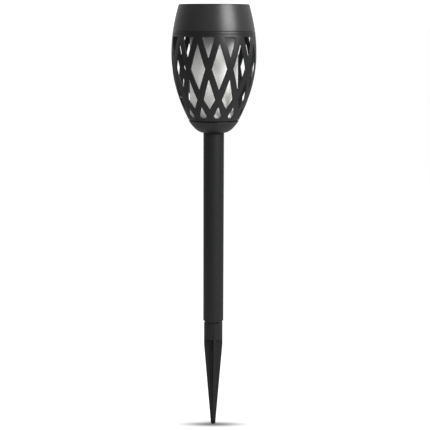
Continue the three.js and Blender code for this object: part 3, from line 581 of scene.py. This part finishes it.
# The right half of an opening as (angle, height) corners, from its head down to its foot.
def halfOpening(row):
    middle = seamZ - cage["crossings"][row]
    lowerAbove, lowerBeside = strutReach(row, row + 1)
    upperAbove, upperBeside = strutReach(row - 1, row) if row else (lowerAbove, lowerBeside)
    side = sector - (upperBeside + lowerBeside) / 2 / headPoint(middle)[0]
    top = seamZ - cage["crossings"][row - 1] - upperAbove if row else middle + upperAbove
    foot = seamZ - cage["crossings"][row + 1] + lowerAbove
    highest, lowest = seamZ - cage["band"], cageFoot + cage["sill"]

    def angleAt(z):
        return side * ((top - z) / (top - middle) if z > middle else (z - foot) / (middle - foot))

    half = [(0.0, highest), (angleAt(highest), highest)] if top > highest else [(0.0, top)]
    if middle < highest:
        half.append((side, middle))
    return half + ([(angleAt(lowest), lowest), (0.0, lowest)] if foot < lowest else [(0.0, foot)])


# The same half in flat (width, height) with its corners rounded, and the way into the plastic at each point.
def roundedHalf(row):
    half = [(angle * headPoint(z)[0], z) for angle, z in halfOpening(row)]
    loop = half + [(-x, z) for x, z in half if x > 0][::-1]
    points = rounded([(x, z, cage["cornerRadius"]) for x, z in loop])
    dense = []
    for i, (x, z) in enumerate(points):
        nextX, nextZ = points[(i + 1) % len(points)]
        parts = max(1, round(math.dist((x, z), (nextX, nextZ)) / cage["pitch"]))
        dense += [(x + (nextX - x) * k / parts, z + (nextZ - z) * k / parts) for k in range(parts)]
    onAxis = 1e-6
    kept = [((0.0 if abs(x) < onAxis else x, z), -normal)
            for (x, z), normal in zip(dense, profileNormals(dense, True)) if x > -onAxis]
    middle = (max(z for _, z in loop) + min(z for _, z in loop)) / 2
    return sorted(kept, key=lambda item: -math.atan2(item[0][1] - middle, item[0][0]))


# The section of a strut's edge, from the outer skin to the inner one: how far it lies back from the
# opening, its depth, and its normal towards the opening and outwards.
def strutEdge():
    edge, inner, wall = cage["edge"], cage["innerEdge"], cage["wall"]
    outerSteps, innerSteps = cage["edgeSteps"]
    section = []
    for k in range(outerSteps + 1):
        a = math.pi / 2 * k / outerSteps
        section.append((edge * (1 - math.sin(a)), edge * (1 - math.cos(a)), math.sin(a), math.cos(a)))
    for k in range(innerSteps + 1):
        a = math.pi / 2 * k / innerSteps
        depth = wall - inner * (1 - math.sin(a))
        section.append((inner * (1 - math.cos(a)), depth, math.cos(a), -math.sin(a)))
    return section


# One half sector of the cage between the middles of two columns of openings: its skins and the
# walls of its openings.
def halfSector():
    verts, normals, faces = [], [], []

    # The bend is the normal's share across the skin, along it and outwards.
    def addVertex(angle, z, depth, bend):
        radius, (nr, nz) = headPoint(z)
        c, s = math.cos(angle), math.sin(angle)
        across, along, out = bend
        side, upward = Vector((-s, c, 0.0)), Vector((-nz * c, -nz * s, nr))
        outward = Vector((nr * c, nr * s, nz))
        verts.append(((radius - depth * nr) * c, (radius - depth * nr) * s, z - depth * nz))
        normals.append(tuple((side * across + upward * along + outward * out).normalized()))
        return len(verts) - 1

    def openingWall(row):
        even = row % 2 == 0
        rows = []
        for offset, depth, flat, out in strutEdge():
            line = []
            for (x, z), normal in roundedHalf(row):
                nx = 0.0 if x == 0.0 else normal.x
                angle = (x + nx * offset) / headPoint(z)[0]
                z += normal.y * offset
                angle, nx = (sector - angle, nx) if even else (angle, -nx)
                line.append((angle, z, addVertex(angle, z, depth, (nx * flat, -normal.y * flat, out))))
            rows.append(line)
        for first, second in zip(rows, rows[1:]):
            for i in range(len(first) - 1):
                quad = [first[i][2], second[i][2], second[i + 1][2], first[i + 1][2]]
                faces.append(quad[::-1] if even else quad)
        return rows[0], rows[-1]

    # The border of a skin: along its foot, up past the openings on its right, back, and down past the others.
    def skinBorder(lines, low, high):
        columns, pitch = cage["columns"], cage["pitch"]
        corners = [(sector * k / columns, low) for k in range(columns + 1)]
        for line in sorted(lines[0::2], key=lambda item: item[0][1]):
            corners += line[::-1]
        corners += [(sector * k / columns, high) for k in range(columns, -1, -1)]
        for line in sorted(lines[1::2], key=lambda item: -item[0][1]):
            corners += line
        border = []
        for i, point in enumerate(corners):
            border.append(point)
            after = corners[(i + 1) % len(corners)]
            drop = after[1] - point[1]
            longest = pitch if 2 in (len(point), len(after)) else 2 * pitch
            if abs(point[0] - after[0]) < tiny and abs(drop) > longest:
                parts = round(abs(drop) / pitch)
                border += [(point[0], point[1] + drop * k / parts) for k in range(1, parts)]
        return border

    # Points inside a border, in rows shifted by half a pitch.
    def innerPoints(flat, low, high):
        step = cage["pitch"]
        rowRise, clear = step * 0.87, step * 0.6
        found = []
        row, z = 0, low + step
        while z < high - step / 2:
            x = step * (0.75 + 0.5 * (row % 2))
            while x < sector * cage["flatRadius"] - step / 2:
                point = Vector((x, z))
                if insidePolygon(point, flat) and min((point - q).length for q in flat) > clear:
                    found.append(point)
                x += step
            z += rowRise
            row += 1
        return found

    def skin(lines, low, high, depth, out):
        border = skinBorder(lines, low, high)
        flat = [Vector((p[0] * cage["flatRadius"], p[1])) for p in border]
        ring = list(range(len(flat)))
        edges = list(zip(ring, ring[1:] + [0]))
        insideOnly, merge = 1, 1e-5
        points, _, triangles, sources, _, _ = delaunay_2d_cdt(
            flat + innerPoints(flat, low, high), edges, [ring], insideOnly, merge)
        ids = []
        for point, source in zip(points, sources):
            known = [border[i][2] for i in source if i < len(border) and len(border[i]) == 3]
            angle = point.x / cage["flatRadius"]
            ids.append(known[0] if known else addVertex(angle, point.y, depth, (0, 0, out)))
        for triangle in triangles:
            face = [ids[i] for i in triangle]
            faces.append(face if out > 0 else face[::-1])

    lines = [openingWall(row) for row in range(len(cage["crossings"]) - 1)]
    lowGap, highGap = cage["innerSkin"]
    skin([outer for outer, _ in lines], cageFoot + cage["footEdge"],
         seamZ - cage["grooveDrop"] - 2 * cage["grooveHalf"], 0.0, 1)
    skin([inner for _, inner in lines], cageFoot + lowGap, seamZ - highGap, cage["wall"], -1)
    return verts, faces, normals


def insidePolygon(point, polygon):
    inside = False
    for i, a in enumerate(polygon):
        b = polygon[i - 1]
        if (a.y > point.y) != (b.y > point.y) and point.x < (b.x - a.x) * (point.y - a.y) / (b.y - a.y) + a.x:
            inside = not inside
    return inside


# Copies a half sector round the axis, mirrored in turn, and welds the copies.
def repeatSector(shape):
    verts, faces, normals = shape
    found, outVerts, outNormals, outFaces = {}, [], [], []
    start = math.radians(cage["turn"] - 90)
    for copy in range(2 * cage["pairs"]):
        mirrored = copy % 2 == 1
        angle = start + sector * (copy + 1 if mirrored else copy)
        c, s = math.cos(angle), math.sin(angle)
        ids = []
        for (x, y, z), (nx, ny, nz) in zip(verts, normals):
            if mirrored:
                y, ny = -y, -ny
            point = (x * c - y * s, x * s + y * c, z)
            key = tuple(round(v, 3) for v in point) + (round(nz, 1),)
            if key not in found:
                found[key] = len(outVerts)
                outVerts.append(point)
                outNormals.append((nx * c - ny * s, nx * s + ny * c, nz))
            ids.append(found[key])
        for face in faces:
            made = [ids[v] for v in face]
            made = [v for i, v in enumerate(made) if v != made[i - 1]]
            if len(set(made)) > 2:
                outFaces.append(made[::-1] if mirrored else made)
    return outVerts, outFaces, outNormals


# The bored ring at the top, with climbing grooves for the lamp's lugs.
def threadRing():
    low, high = seamZ - thread["ringHeight"] + thread["ringDrop"], cageTop - thread["ringDrop"]
    bore, chamfer, sliver = thread["bore"], thread["chamfer"], thread["sliver"]
    outside = headPoint(high)[0] - cage["wall"] + thread["ringOverlap"]
    grooveLow = seamZ - thread["ringHeight"] + thread["lugLift"] - thread["lugFit"]
    grooveHigh = grooveLow + thread["lugHeight"] + 2 * thread["lugFit"]
    steps = thread["steps"]
    verts = []
    for k in range(steps):
        across = (360 * k / steps - thread["grooveStart"]) % (360 / thread["grooves"])
        lowEdge = grooveLow + thread["rise"] * across
        highEdge = min(grooveHigh + thread["rise"] * across, high)
        reach = bore + thread["grooveReach"] if lowEdge < high - thread["thinnest"] else bore
        lowEdge = min(lowEdge, high - thread["thinnest"])
        throughTop = highEdge >= high
        top = reach if throughTop else bore
        section = [
            (outside, low), (outside, high), (reach if throughTop else bore + chamfer, high),
            (top, high - sliver), (top, highEdge), (reach, highEdge - sliver), (reach, lowEdge + sliver),
            (bore, lowEdge), (bore, low + chamfer), (bore + chamfer, low),
        ]
        c, s = math.cos(2 * math.pi * k / steps), math.sin(2 * math.pi * k / steps)
        verts += [(r * c, r * s, z) for r, z in section]
    return flatNormals(verts, rowFaces(steps, len(section)))


def flatNormals(verts, faces):
    outVerts, outFaces, outNormals = [], [], []
    for face in faces:
        points = [Vector(verts[v]) for v in face]
        normal = Vector((0.0, 0.0, 0.0))
        for i, a in enumerate(points):
            normal += a.cross(points[(i + 1) % len(points)])
        if normal.length < tiny:
            continue
        start = len(outVerts)
        outVerts += [tuple(p) for p in points]
        outNormals += [tuple(normal.normalized())] * len(points)
        outFaces.append([start + i for i in range(len(points))])
    return outVerts, outFaces, outNormals


# The band over the openings, with its fine groove, up to the top and a little way down inside.
def cageTopRim():
    edge, groove, half = cage["topEdge"], seamZ - cage["grooveDrop"], cage["grooveHalf"]
    outside = [headDepth(groove + half * k, cage["grooveDepth"] if abs(k) < 1 else 0.0)
               for k in cage["grooveShape"]]
    outside += [headDepth(z, 0.0) for z in spread(groove + 2.5 * half, cageTop - edge, cage["topLevels"])]
    outside.append((headPoint(cageTop)[0] - edge, cageTop))
    inside = headDepth(seamZ - cage["innerSkin"][1], cage["wall"])
    rim = rounded([outside[-1], (inside[0] + cage["topLip"], cageTop, plainEdge), inside], closed=False)
    return turned(outside + rim[1:], steps=cage["rimSteps"], closed=False)


# The sloping floor inside the struts' feet, the spigot with its screw flange, and the foot's outer edge.
def cageFootRim():
    bore, outside = cage["spigot"]
    slope, slopeOutside, slopeInside = cage["footSlope"]
    flangeTop, edgeTop = cageLow.z + cage["flangeHeight"], cageFoot + cage["footEdge"]
    return turned(rounded([
        headDepth(cageFoot + cage["innerSkin"][0], cage["wall"]),
        (bore + slope, cageFoot + slopeOutside, softEdge),
        (bore, cageFoot + slopeInside, softEdge), (bore, flangeTop, plainEdge),
        (cage["flangeBore"], flangeTop, plainEdge), (cage["flangeBore"], cageLow.z, plainEdge),
        (outside, cageLow.z, softEdge), (outside, cageFoot, crispEdge),
        (head["seamRadius"] - cage["footInset"], cageFoot, crispEdge), (headPoint(edgeTop)[0], edgeTop),
    ], closed=False), steps=cage["rimSteps"], closed=False)


makePiece("latticeCage", joined(repeatSector(halfSector()), cageTopRim(), cageFootRim(), threadRing()),
          "cage", "cage", "lattice_cage")
print("stage: cage")

# The crown: a turned shell with seats for the window and the board inside its top.
crown = {
    "lowEdge": 0.25,
    "rimRound": 1.2,
    "rimSteps": 6,
    "fit": 0.3,  # round window and board
    "seatGap": 0.1,  # under the window's tape and the board
    "ledge": (3.0, 2.0),  # width and thickness of the board's ledge
    "insideEnds": (1.5, 3.5),  # the sloping inside starts under the ledge and ends over the seam
    "levels": (32, 12),  # outside and inside
    "steps": 288,
}
window = {"faceEdge": 0.3, "footEdge": 0.2, "steps": 192}


def buildCrown():
    recess = nodeBox("solar_window")[1].x + crown["fit"]
    seat = nodeBox("window_tape")[0].z - crown["seatGap"]
    boardLow, boardHigh = nodeBox("solar_board")
    boardSeat, boardRadius = boardLow.z - crown["seatGap"], boardHigh.x + crown["fit"]
    ledgeRadius, ledge = boardRadius - crown["ledge"][0], boardSeat - crown["ledge"][1]
    insideTop, insideFoot = crown["insideEnds"]
    lowEdge, rim, rimSteps = crown["lowEdge"], crown["rimRound"], crown["rimSteps"]
    outerLevels, innerLevels = crown["levels"]
    outline = [(headPoint(seamZ)[0] - lowEdge, seamZ)]
    outline += [(headPoint(z)[0], z) for z in spread(seamZ + lowEdge, crownTop - rim, outerLevels)]
    topRadius = outline[-1][0]
    for k in range(1, rimSteps + 1):
        a = math.pi / 2 * k / rimSteps
        outline.append((topRadius - rim * (1 - math.cos(a)), crownTop - rim * (1 - math.sin(a))))
    outline += [
        (recess, crownTop, softEdge), (recess, seat, crispEdge), (boardRadius, seat, crispEdge),
        (boardRadius, boardSeat, crispEdge), (ledgeRadius, boardSeat, plainEdge),
        (ledgeRadius, ledge, plainEdge), (headDepth(ledge, head["wall"])[0], ledge, softEdge),
    ]
    outline += [(headDepth(z, head["wall"])[0], z)
                for z in spread(ledge - insideTop, seamZ + insideFoot, innerLevels)]
    outline.append((headDepth(seamZ, head["wall"])[0], seamZ, plainEdge))
    makePiece("crownShell", turned(rounded(outline), steps=crown["steps"]), "shell", "lamp",
              "crown_shell")


def buildWindow():
    low, high = nodeBox("solar_window")
    disc = turned(rounded([
        (0, low.z), (high.x, low.z, window["footEdge"]), (high.x, high.z, window["faceEdge"]), (0, high.z),
    ]), steps=window["steps"])
    makePiece("solarWindow", disc, "window", "lamp", "solar_window")


buildCrown()
buildWindow()
print("stage: crown")

# Plug and key that go into each end of the pole.
plug = {
    "radius": 12.7,
    "length": 30.0,
    "wall": 2.0,
    "root": 1.0,  # into the piece that it stands on
    "chamfer": (1.0, 1.2),
    "floorRound": 0.6,
    "steps": 96,
    "ribs": 4,  # crush ribs
    "firstRib": 20.0,  # degrees
    "ribSweep": 4.0,
    "ribProud": 0.2,
    "ribRoot": 0.3,
    "ribEnds": 3.0,  # short of the plug's ends
    "ribEdge": 0.15,
    "keyAngles": (-52.0, 90.0),  # at the pole's foot and top
    "keySweep": 26.0,
    "keyHeight": 2.2,
    "keyRoot": 1.0,
    "keyFit": 0.3,  # inside the pole's outside
}
bowl = {
    "footRadius": 16.7,
    "footDrop": 1.5,  # of the foot and the pole's end under the bowl
    "poleGap": 0.3,
    "swell": (25.4, 1.5),  # control point: radius, and height above the foot
    "curveSteps": 24,
    "footFlat": 1.0,
    "footCorner": (0.2, 0.1, 1.2),  # inwards and down from the curve, and its fillet
    "rimCorners": ((0.1, 0.7, 0.2), (0.4, 0.2, 0.25)),  # inwards, down and fillet
    "fit": 0.3,  # round the cage's spigot
    "wall": 1.8,
    "wallTop": 2.2,  # below the spigot's foot
    "floor": 2.6,
    "keySink": 0.5,
    "steps": 192,
}
poleTop = poleHigh.z - bowl["footDrop"]


# A hollow plug with a chamfered end and narrow crush ribs; direction is 1 upwards and -1 downwards.
def plugShape(base, direction):
    radius, wall = plug["radius"], plug["wall"]
    chamferIn, chamferUp = plug["chamfer"]
    end = base + direction * plug["length"]
    foot, floor = base - direction * plug["root"], base + direction * wall
    profile = [(0, foot), (radius, foot), (radius, end - direction * chamferUp, plainEdge),
               (radius - chamferIn, end, plainEdge), (radius - wall, end, plainEdge),
               (radius - wall, floor, plug["floorRound"]), (0, floor)]
    parts = [turned(rounded(profile[::direction]), steps=plug["steps"])]
    low, high = sorted((base + direction * plug["ribEnds"], end - direction * plug["ribEnds"]))
    ribInner, ribOuter = radius - plug["ribRoot"], radius + plug["ribProud"]
    for k in range(plug["ribs"]):
        angle = plug["firstRib"] + 360 * k / plug["ribs"]
        parts.append(bentBlock(angle, plug["ribSweep"], ribInner, ribOuter, low, high, plug["ribEdge"], 3))
    return parts


def keyShape(angle, low, high):
    return bentBlock(angle - plug["keySweep"] / 2, plug["keySweep"], plug["radius"] - plug["keyRoot"],
                     poleHigh.x - plug["keyFit"], low, high)


def buildBowl():
    base = poleTop + bowl["poleGap"]
    footRadius, (swellRadius, swellHeight), rimRadius = bowl["footRadius"], bowl["swell"], head["seamRadius"]
    steps = bowl["curveSteps"]
    curve = [(curved(k / steps, footRadius, swellRadius, rimRadius),
              curved(k / steps, base, base + swellHeight, bowlRim)) for k in range(1, steps)]
    inwards, down, fillet = bowl["footCorner"]
    bore = cage["spigot"][1] + bowl["fit"]
    profile = [(0, base), (footRadius - bowl["footFlat"], base, softEdge),
               (curve[1][0] - inwards, curve[1][1] - down, fillet)] + curve[3:-1]
    profile += [(rimRadius - inwards, bowlRim - down, fillet) for inwards, down, fillet in bowl["rimCorners"]]
    profile += [(bore, bowlRim, plainEdge), (bore, cageLow.z - bowl["fit"], plainEdge)]
    profile += [(r - bowl["wall"], z + bowl["wall"]) for r, z in curve[::-1]
                if r < bore and z < cageLow.z - bowl["wallTop"]]
    profile.append((0, base + bowl["floor"]))
    key = keyShape(plug["keyAngles"][1], poleTop - plug["keyHeight"], base + bowl["keySink"])
    makePiece("lowerBowl", joined(turned(rounded(profile), steps=bowl["steps"]), *plugShape(base, -1), key),
              "bowl", "cage", "lower_bowl")


buildBowl()
print("stage: bowl")

pole = {
    "wall": 1.5,
    "edge": 0.5,
    "edgeShare": 0.3,  # of the edge, left at the middle of its rounding
    "boreEdge": 0.2,
    "notchDepth": 2.5,
    "notchFit": 0.3,
    "notchSlope": 0.012,  # radians that a notch's side takes
    "levels": 24,
    "steps": 360,
}


# The tube is made column by column, so that each end dips at its key's notch.
def buildPole():
    outer, bore, steps = poleHigh.x, poleHigh.x - pole["wall"], pole["steps"]
    half = math.radians(plug["keySweep"] / 2) + pole["notchFit"] / bore
    edge, boreEdge = pole["edge"], pole["boreEdge"]
    small = edge * pole["edgeShare"]
    verts, normals = [], []
    for k in range(steps):
        angle = 2 * math.pi * k / steps
        ends = [poleLow.z, poleTop]
        for end, (degrees, way) in enumerate(zip(plug["keyAngles"], (1, -1))):
            away = abs((angle - math.radians(degrees) + math.pi) % (2 * math.pi) - math.pi)
            ends[end] += way * pole["notchDepth"] * min(1, max(0, (half - away) / pole["notchSlope"] + 0.5))
        low, high = ends
        heights = spread(low + edge, high - edge, pole["levels"])
        column = [(bore + boreEdge, low), (outer - edge, low), (outer - small, low + small)]
        column += [(outer, z) for z in heights]
        column += [(outer - small, high - small), (outer - edge, high), (bore + boreEdge, high),
                   (bore, high - boreEdge)]
        column += [(bore, z) for z in heights[-2:0:-1]] + [(bore, low + boreEdge)]
        c, s = math.cos(angle), math.sin(angle)
        verts += [(r * c, r * s, z) for r, z in column]
        normals += [(n.x * c, n.x * s, n.y) for n in profileNormals(column, True)]
    faces = rowFaces(steps, len(column))
    makePiece("pole.tube", (verts, faces, normals), "pole", "pole", "pole")


buildPole()
print("stage: pole")

# The ground spike: four blades that taper to a tip, a barrel over them, and a neck under the pole.
spike = {
    "bladeReach": 13.3,
    "bladeHalf": 1.8,
    "bladeEnds": (2.0, 1.5),  # above the tip and below the barrel
    "bladeLevels": 84,
    "turn": 10.0,  # degrees
    "shoulder": 9.6,  # where the taper starts, below the barrel
    "tipReach": 3.1,
    "tipRound": ((0.0, 0.9), (0.3, 0.35), (1.0, 0.0)),  # height over the tip, and what the reach loses there
    "edge": 0.5,
    "edgeLimit": 0.4,  # of the blade that an edge and a fillet can take
    "rootFillet": 2.2,
    "filletLimit": 0.6,
    "core": ((-80.0, 2.6), (-18.0, 5.0), (-8.0, 2.6)),  # height and radius of the cone between the blades
    "barrelRadius": 12.7,
    "barrelHeight": 24.6,
    "barrelLevels": 12,
    "barrelRoot": 3.0,  # radius where the barrel's underside starts
    "barrelEdges": (0.5, 0.35),  # at its foot and its top
    "neckRadius": 11.6,  # of the groove between barrel and pole
    "collarTop": 26.4,
    "keySink": 0.9,
    "steps": 144,
    "crease": 38.0,  # degrees
}


# One quarter of the cross-section: out along one side of a blade, round its edge, and back to the next blade.
def bladeSection(reach, core):
    half = spike["bladeHalf"]
    edge = min(spike["edge"], (reach - half) * spike["edgeLimit"])
    fillet = min(spike["rootFillet"], (reach - edge - half) * spike["filletLimit"])
    points = [(reach, 0.0), (reach, half / 2), (reach, half - edge)]
    points += [(reach - edge * (1 - math.cos(a)), half - edge * (1 - math.sin(a)))
               for a in (math.pi / 6, math.pi / 3, math.pi / 2)]
    start, end = math.atan2(half, reach - edge), math.atan2(half, half + fillet)
    points += [(half / math.tan(start + (end - start) * k / 9), half) for k in range(1, 10)]
    for k in range(1, 4):
        a = math.pi / 4 * k / 3
        points.append((half + fillet - fillet * math.sin(a), half + fillet - fillet * math.cos(a)))
    quarter = points + [(y, x) for x, y in points[-2:0:-1]]
    out = []
    for x, y in quarter:
        length = math.hypot(x, y)
        if length < core:
            x, y = x * core / length, y * core / length
        out.append((x, y))
    return out


def bladeReachAt(z):
    share = max(0.0, (z + spike["shoulder"]) / (spikeLow.z + spike["shoulder"]))
    return spike["bladeReach"] + (spike["tipReach"] - spike["bladeReach"]) * share


def coreAt(z):
    (lowZ, lowCore), (midZ, midCore), (highZ, highCore) = spike["core"]
    if z < midZ:
        return lowCore + (midCore - lowCore) * max(0.0, (z - lowZ) / (midZ - lowZ))
    return midCore + (highCore - midCore) * min(1.0, (z - midZ) / (highZ - midZ))


# The blades and the barrel's side as one skin.
def bladesAndBarrel():
    barrel, (footEdge, _) = spike["barrelRadius"], spike["barrelEdges"]
    aboveTip, belowBarrel = spike["bladeEnds"]
    levels = [(spikeLow.z + rise, 0, less) for rise, less in spike["tipRound"]]
    levels += [(z, coreAt(z), 0) for z in spread(spikeLow.z + aboveTip, -belowBarrel, spike["bladeLevels"])]
    levels += [(0, spike["barrelRoot"], 0), (0, barrel - footEdge, 0), (footEdge, barrel, 0)]
    levels += [(z, barrel, 0) for z in spread(2, spike["barrelHeight"] - 1, spike["barrelLevels"])]
    verts = []
    for z, core, less in levels:
        quarter = bladeSection(bladeReachAt(z) - less, core)
        for k in range(4):
            angle = math.radians(spike["turn"] + 90 * k)
            c, s = math.cos(angle), math.sin(angle)
            verts += [(x * c - y * s, x * s + y * c, z) for x, y in quarter]
    wide = 4 * len(quarter)
    faces = [[face[0]] + face[:0:-1] for face in rowFaces(len(levels), wide, closed=False)]
    faces.append(list(range(wide))[::-1])
    return smoothNormals(verts, faces, spike["crease"])


# Splits a mesh's vertices at edges sharper than an angle, and gives each its own normal.
def smoothNormals(verts, faces, crease):
    mesh = bpy.data.meshes.new("draft")
    mesh.from_pydata([Vector(v) for v in verts], [], faces)
    mesh.polygons.foreach_set("use_smooth", [True] * len(mesh.polygons))
    mesh.set_sharp_from_angle(angle=math.radians(crease))
    mesh.update()
    found, outVerts, outNormals, outFaces = {}, [], [], []
    for polygon in mesh.polygons:
        face = []
        for loop in polygon.loop_indices:
            vertex = mesh.loops[loop].vertex_index
            normal = mesh.corner_normals[loop].vector
            key = (vertex, round(normal.x, 2), round(normal.y, 2), round(normal.z, 2))
            if key not in found:
                found[key] = len(outVerts)
                outVerts.append(tuple(mesh.vertices[vertex].co))
                outNormals.append(tuple(normal))
            face.append(found[key])
        outFaces.append(face)
    bpy.data.meshes.remove(mesh)
    return outVerts, outFaces, outNormals


def buildSpike():
    barrel, height, top = spike["barrelRadius"], spike["barrelHeight"], spike["collarTop"]
    collar = turned(rounded([
        (0, height - 1), (barrel, height - 1), (barrel, height, spike["barrelEdges"][1]),
        (spike["neckRadius"], height, crispEdge), (spike["neckRadius"], top, crispEdge), (0, top),
    ]), steps=spike["steps"])
    key = keyShape(plug["keyAngles"][0], top - spike["keySink"], poleLow.z + plug["keyHeight"])
    makePiece("groundSpike", joined(bladesAndBarrel(), collar, *plugShape(top, 1), key), "spike", "spike",
              "ground_spike")


buildSpike()
print("stage: spike")

diffuser = {"wall": 1.6, "round": 5.0, "roundSteps": 10, "edge": 0.4, "steps": 180}


def buildDiffuser():
    radius, low, top = diffuserHigh.x, diffuserLow.z, diffuserHigh.z
    wall, corner, edge = diffuser["wall"], diffuser["round"], diffuser["edge"]
    shell = turned(rounded([
        (0, low), (radius, low, corner), (radius, (low + top) / 2), (radius, top, edge),
        (radius - wall, top, edge), (radius - wall, low + wall, corner - wall), (0, low + wall),
    ], arcSteps=diffuser["roundSteps"]), steps=diffuser["steps"])
    makePiece("diffuserShell", shell, "frosted", "lamp", "diffuser")


buildDiffuser()
print("stage: diffuser")

# Floor, lights and backdrop, in metres.
studio = {
    "floorSize": 400.0,
    "floorColor": (0.55, 0.55, 0.55),
    "floorRoughness": 0.9,
    "floorSpecular": 0.1,
    "floorGlow": 0.78,  # for the camera only
    # a shadow painted on the floor round the tip
    "shade": {"Reach": 0.045, "Depth": 0.84},
    "shadeShape": (1.0, 4.4, 0.0),  # wider across than deep
    "shadeShift": (0.0, 0.018, 0.0),  # of the shaped place
    "backdropSpan": (-0.35, 0.75),  # from the front brightness to the back one, along Y
    "front": 0.2,
    "back": 0.9,
    "shown": 1.6,  # least brightness that the camera sees
    "lights": {  # place, target, size and power
        "key": ((0.86, -0.9, 1.0), (0, 0, 0.44), (0.8, 0.6), 20.0),
        "top": ((0, 0.1, 1.9), (0, 0, 0), (1.2, 1.2), 5.0),
    },
}


# A soft shadow painted into the floor round the spike's tip.
def paintedShadowGroup():
    tree, given, result = newGroup("painted_contact_shadow", [
        ("Reach", "NodeSocketFloat", 0.05), ("Depth", "NodeSocketFloat", 0.8),
    ], [("Shade", "NodeSocketFloat")])
    scaled = tree.nodes.new("ShaderNodeVectorMath")
    scaled.operation = "MULTIPLY_ADD"
    fillSockets(tree, zip(scaled.inputs, (placeNode(tree), studio["shadeShape"], studio["shadeShift"])))
    away = tree.nodes.new("ShaderNodeVectorMath")
    away.operation = "LENGTH"
    tree.links.new(scaled.outputs[0], away.inputs[0])
    share = mathNode(tree, "DIVIDE", away.outputs["Value"], given.outputs["Reach"])
    square = mathNode(tree, "MULTIPLY", share, share)
    fall = mathNode(tree, "EXPONENT", mathNode(tree, "MULTIPLY", square, -1.0))
    tree.links.new(mathNode(tree, "MULTIPLY", fall, given.outputs["Depth"]), result.inputs["Shade"])
    return tree


def buildFloor():
    half, z = studio["floorSize"] / 2, spikeLow.z * mm
    mesh = bpy.data.meshes.new("floor")
    corners = [(-half, -half, z), (half, -half, z), (half, half, z), (-half, half, z)]
    mesh.from_pydata(corners, [], [(0, 1, 2, 3)])
    floor = bpy.data.objects.new("floor", mesh)
    scene.collection.objects.link(floor)
    pale = bpy.data.materials.new("paleFloor")
    pale.use_nodes = True
    tree = pale.node_tree
    shader = tree.nodes["Principled BSDF"].inputs
    # The painted shadow darkens both the floor's colour and its glow.
    shade = placeGroup(tree, paintedShadowGroup(), studio["shade"]).outputs["Shade"]
    color = mixColors(tree, shade, (*studio["floorColor"], 1.0), (0.0, 0.0, 0.0, 1.0))
    seen = tree.nodes.new("ShaderNodeLightPath").outputs["Is Camera Ray"]
    lit = mathNode(tree, "MULTIPLY", mathNode(tree, "SUBTRACT", 1.0, shade), seen)
    glow = mathNode(tree, "MULTIPLY", lit, studio["floorGlow"])
    fillSockets(tree, (
        (shader["Base Color"], color), (shader["Roughness"], studio["floorRoughness"]),
        (shader["Specular IOR Level"], studio["floorSpecular"]),
        (shader["Emission Color"], (1.0, 1.0, 1.0, 1.0)), (shader["Emission Strength"], glow)))
    mesh.materials.append(pale)


def buildBackdrop():
    world = bpy.data.worlds.new("studio")
    scene.world = world
    world.use_nodes = True
    tree = world.node_tree
    tree.nodes.clear()
    along = splitVector(tree, tree.nodes.new("ShaderNodeTexCoord").outputs["Generated"])["Y"]
    strength = rangeNode(tree, along, *studio["backdropSpan"], studio["front"], studio["back"])
    seen = tree.nodes.new("ShaderNodeLightPath").outputs["Is Camera Ray"]
    shown = mathNode(tree, "MULTIPLY", seen, studio["shown"])
    lit = tree.nodes.new("ShaderNodeBackground")
    tree.links.new(mathNode(tree, "MAXIMUM", strength, shown), lit.inputs["Strength"])
    tree.links.new(lit.outputs[0], tree.nodes.new("ShaderNodeOutputWorld").inputs[0])


def buildLight(name, place, target, size, power):
    light = bpy.data.lights.new(name, "AREA")
    light.shape = "RECTANGLE"
    light.size, light.size_y = size
    light.energy = power
    lamp = bpy.data.objects.new(name, light)
    scene.collection.objects.link(lamp)
    lamp.location = place
    lamp.rotation_euler = (Vector(target) - Vector(place)).to_track_quat("-Z", "Y").to_euler()


buildFloor()
buildBackdrop()
for name, values in studio["lights"].items():
    buildLight(name, *values)
scene.view_settings.view_transform = "Standard"
print("stage: studio")

view = {
    "lens": 94.69,
    "sensor": 36.0,
    "place": (0.0, -1.5836, crownTop * mm - 0.0265),
    "pitch": -9.6,  # degrees
    "yaw": -0.075,
    "roll": 0.15,
}
camera = bpy.data.cameras.new("camera")
camera.lens = view["lens"]
camera.sensor_width = view["sensor"]
cameraObject = bpy.data.objects.new("camera", camera)
scene.collection.objects.link(cameraObject)
cameraObject.matrix_world = (
    Matrix.Translation(view["place"]) @ Matrix.Rotation(math.radians(view["yaw"]), 4, "Z")
    @ Matrix.Rotation(math.radians(90 + view["pitch"]), 4, "X")
    @ Matrix.Rotation(math.radians(view["roll"]), 4, "Z"))
scene.camera = cameraObject
print("stage: camera")
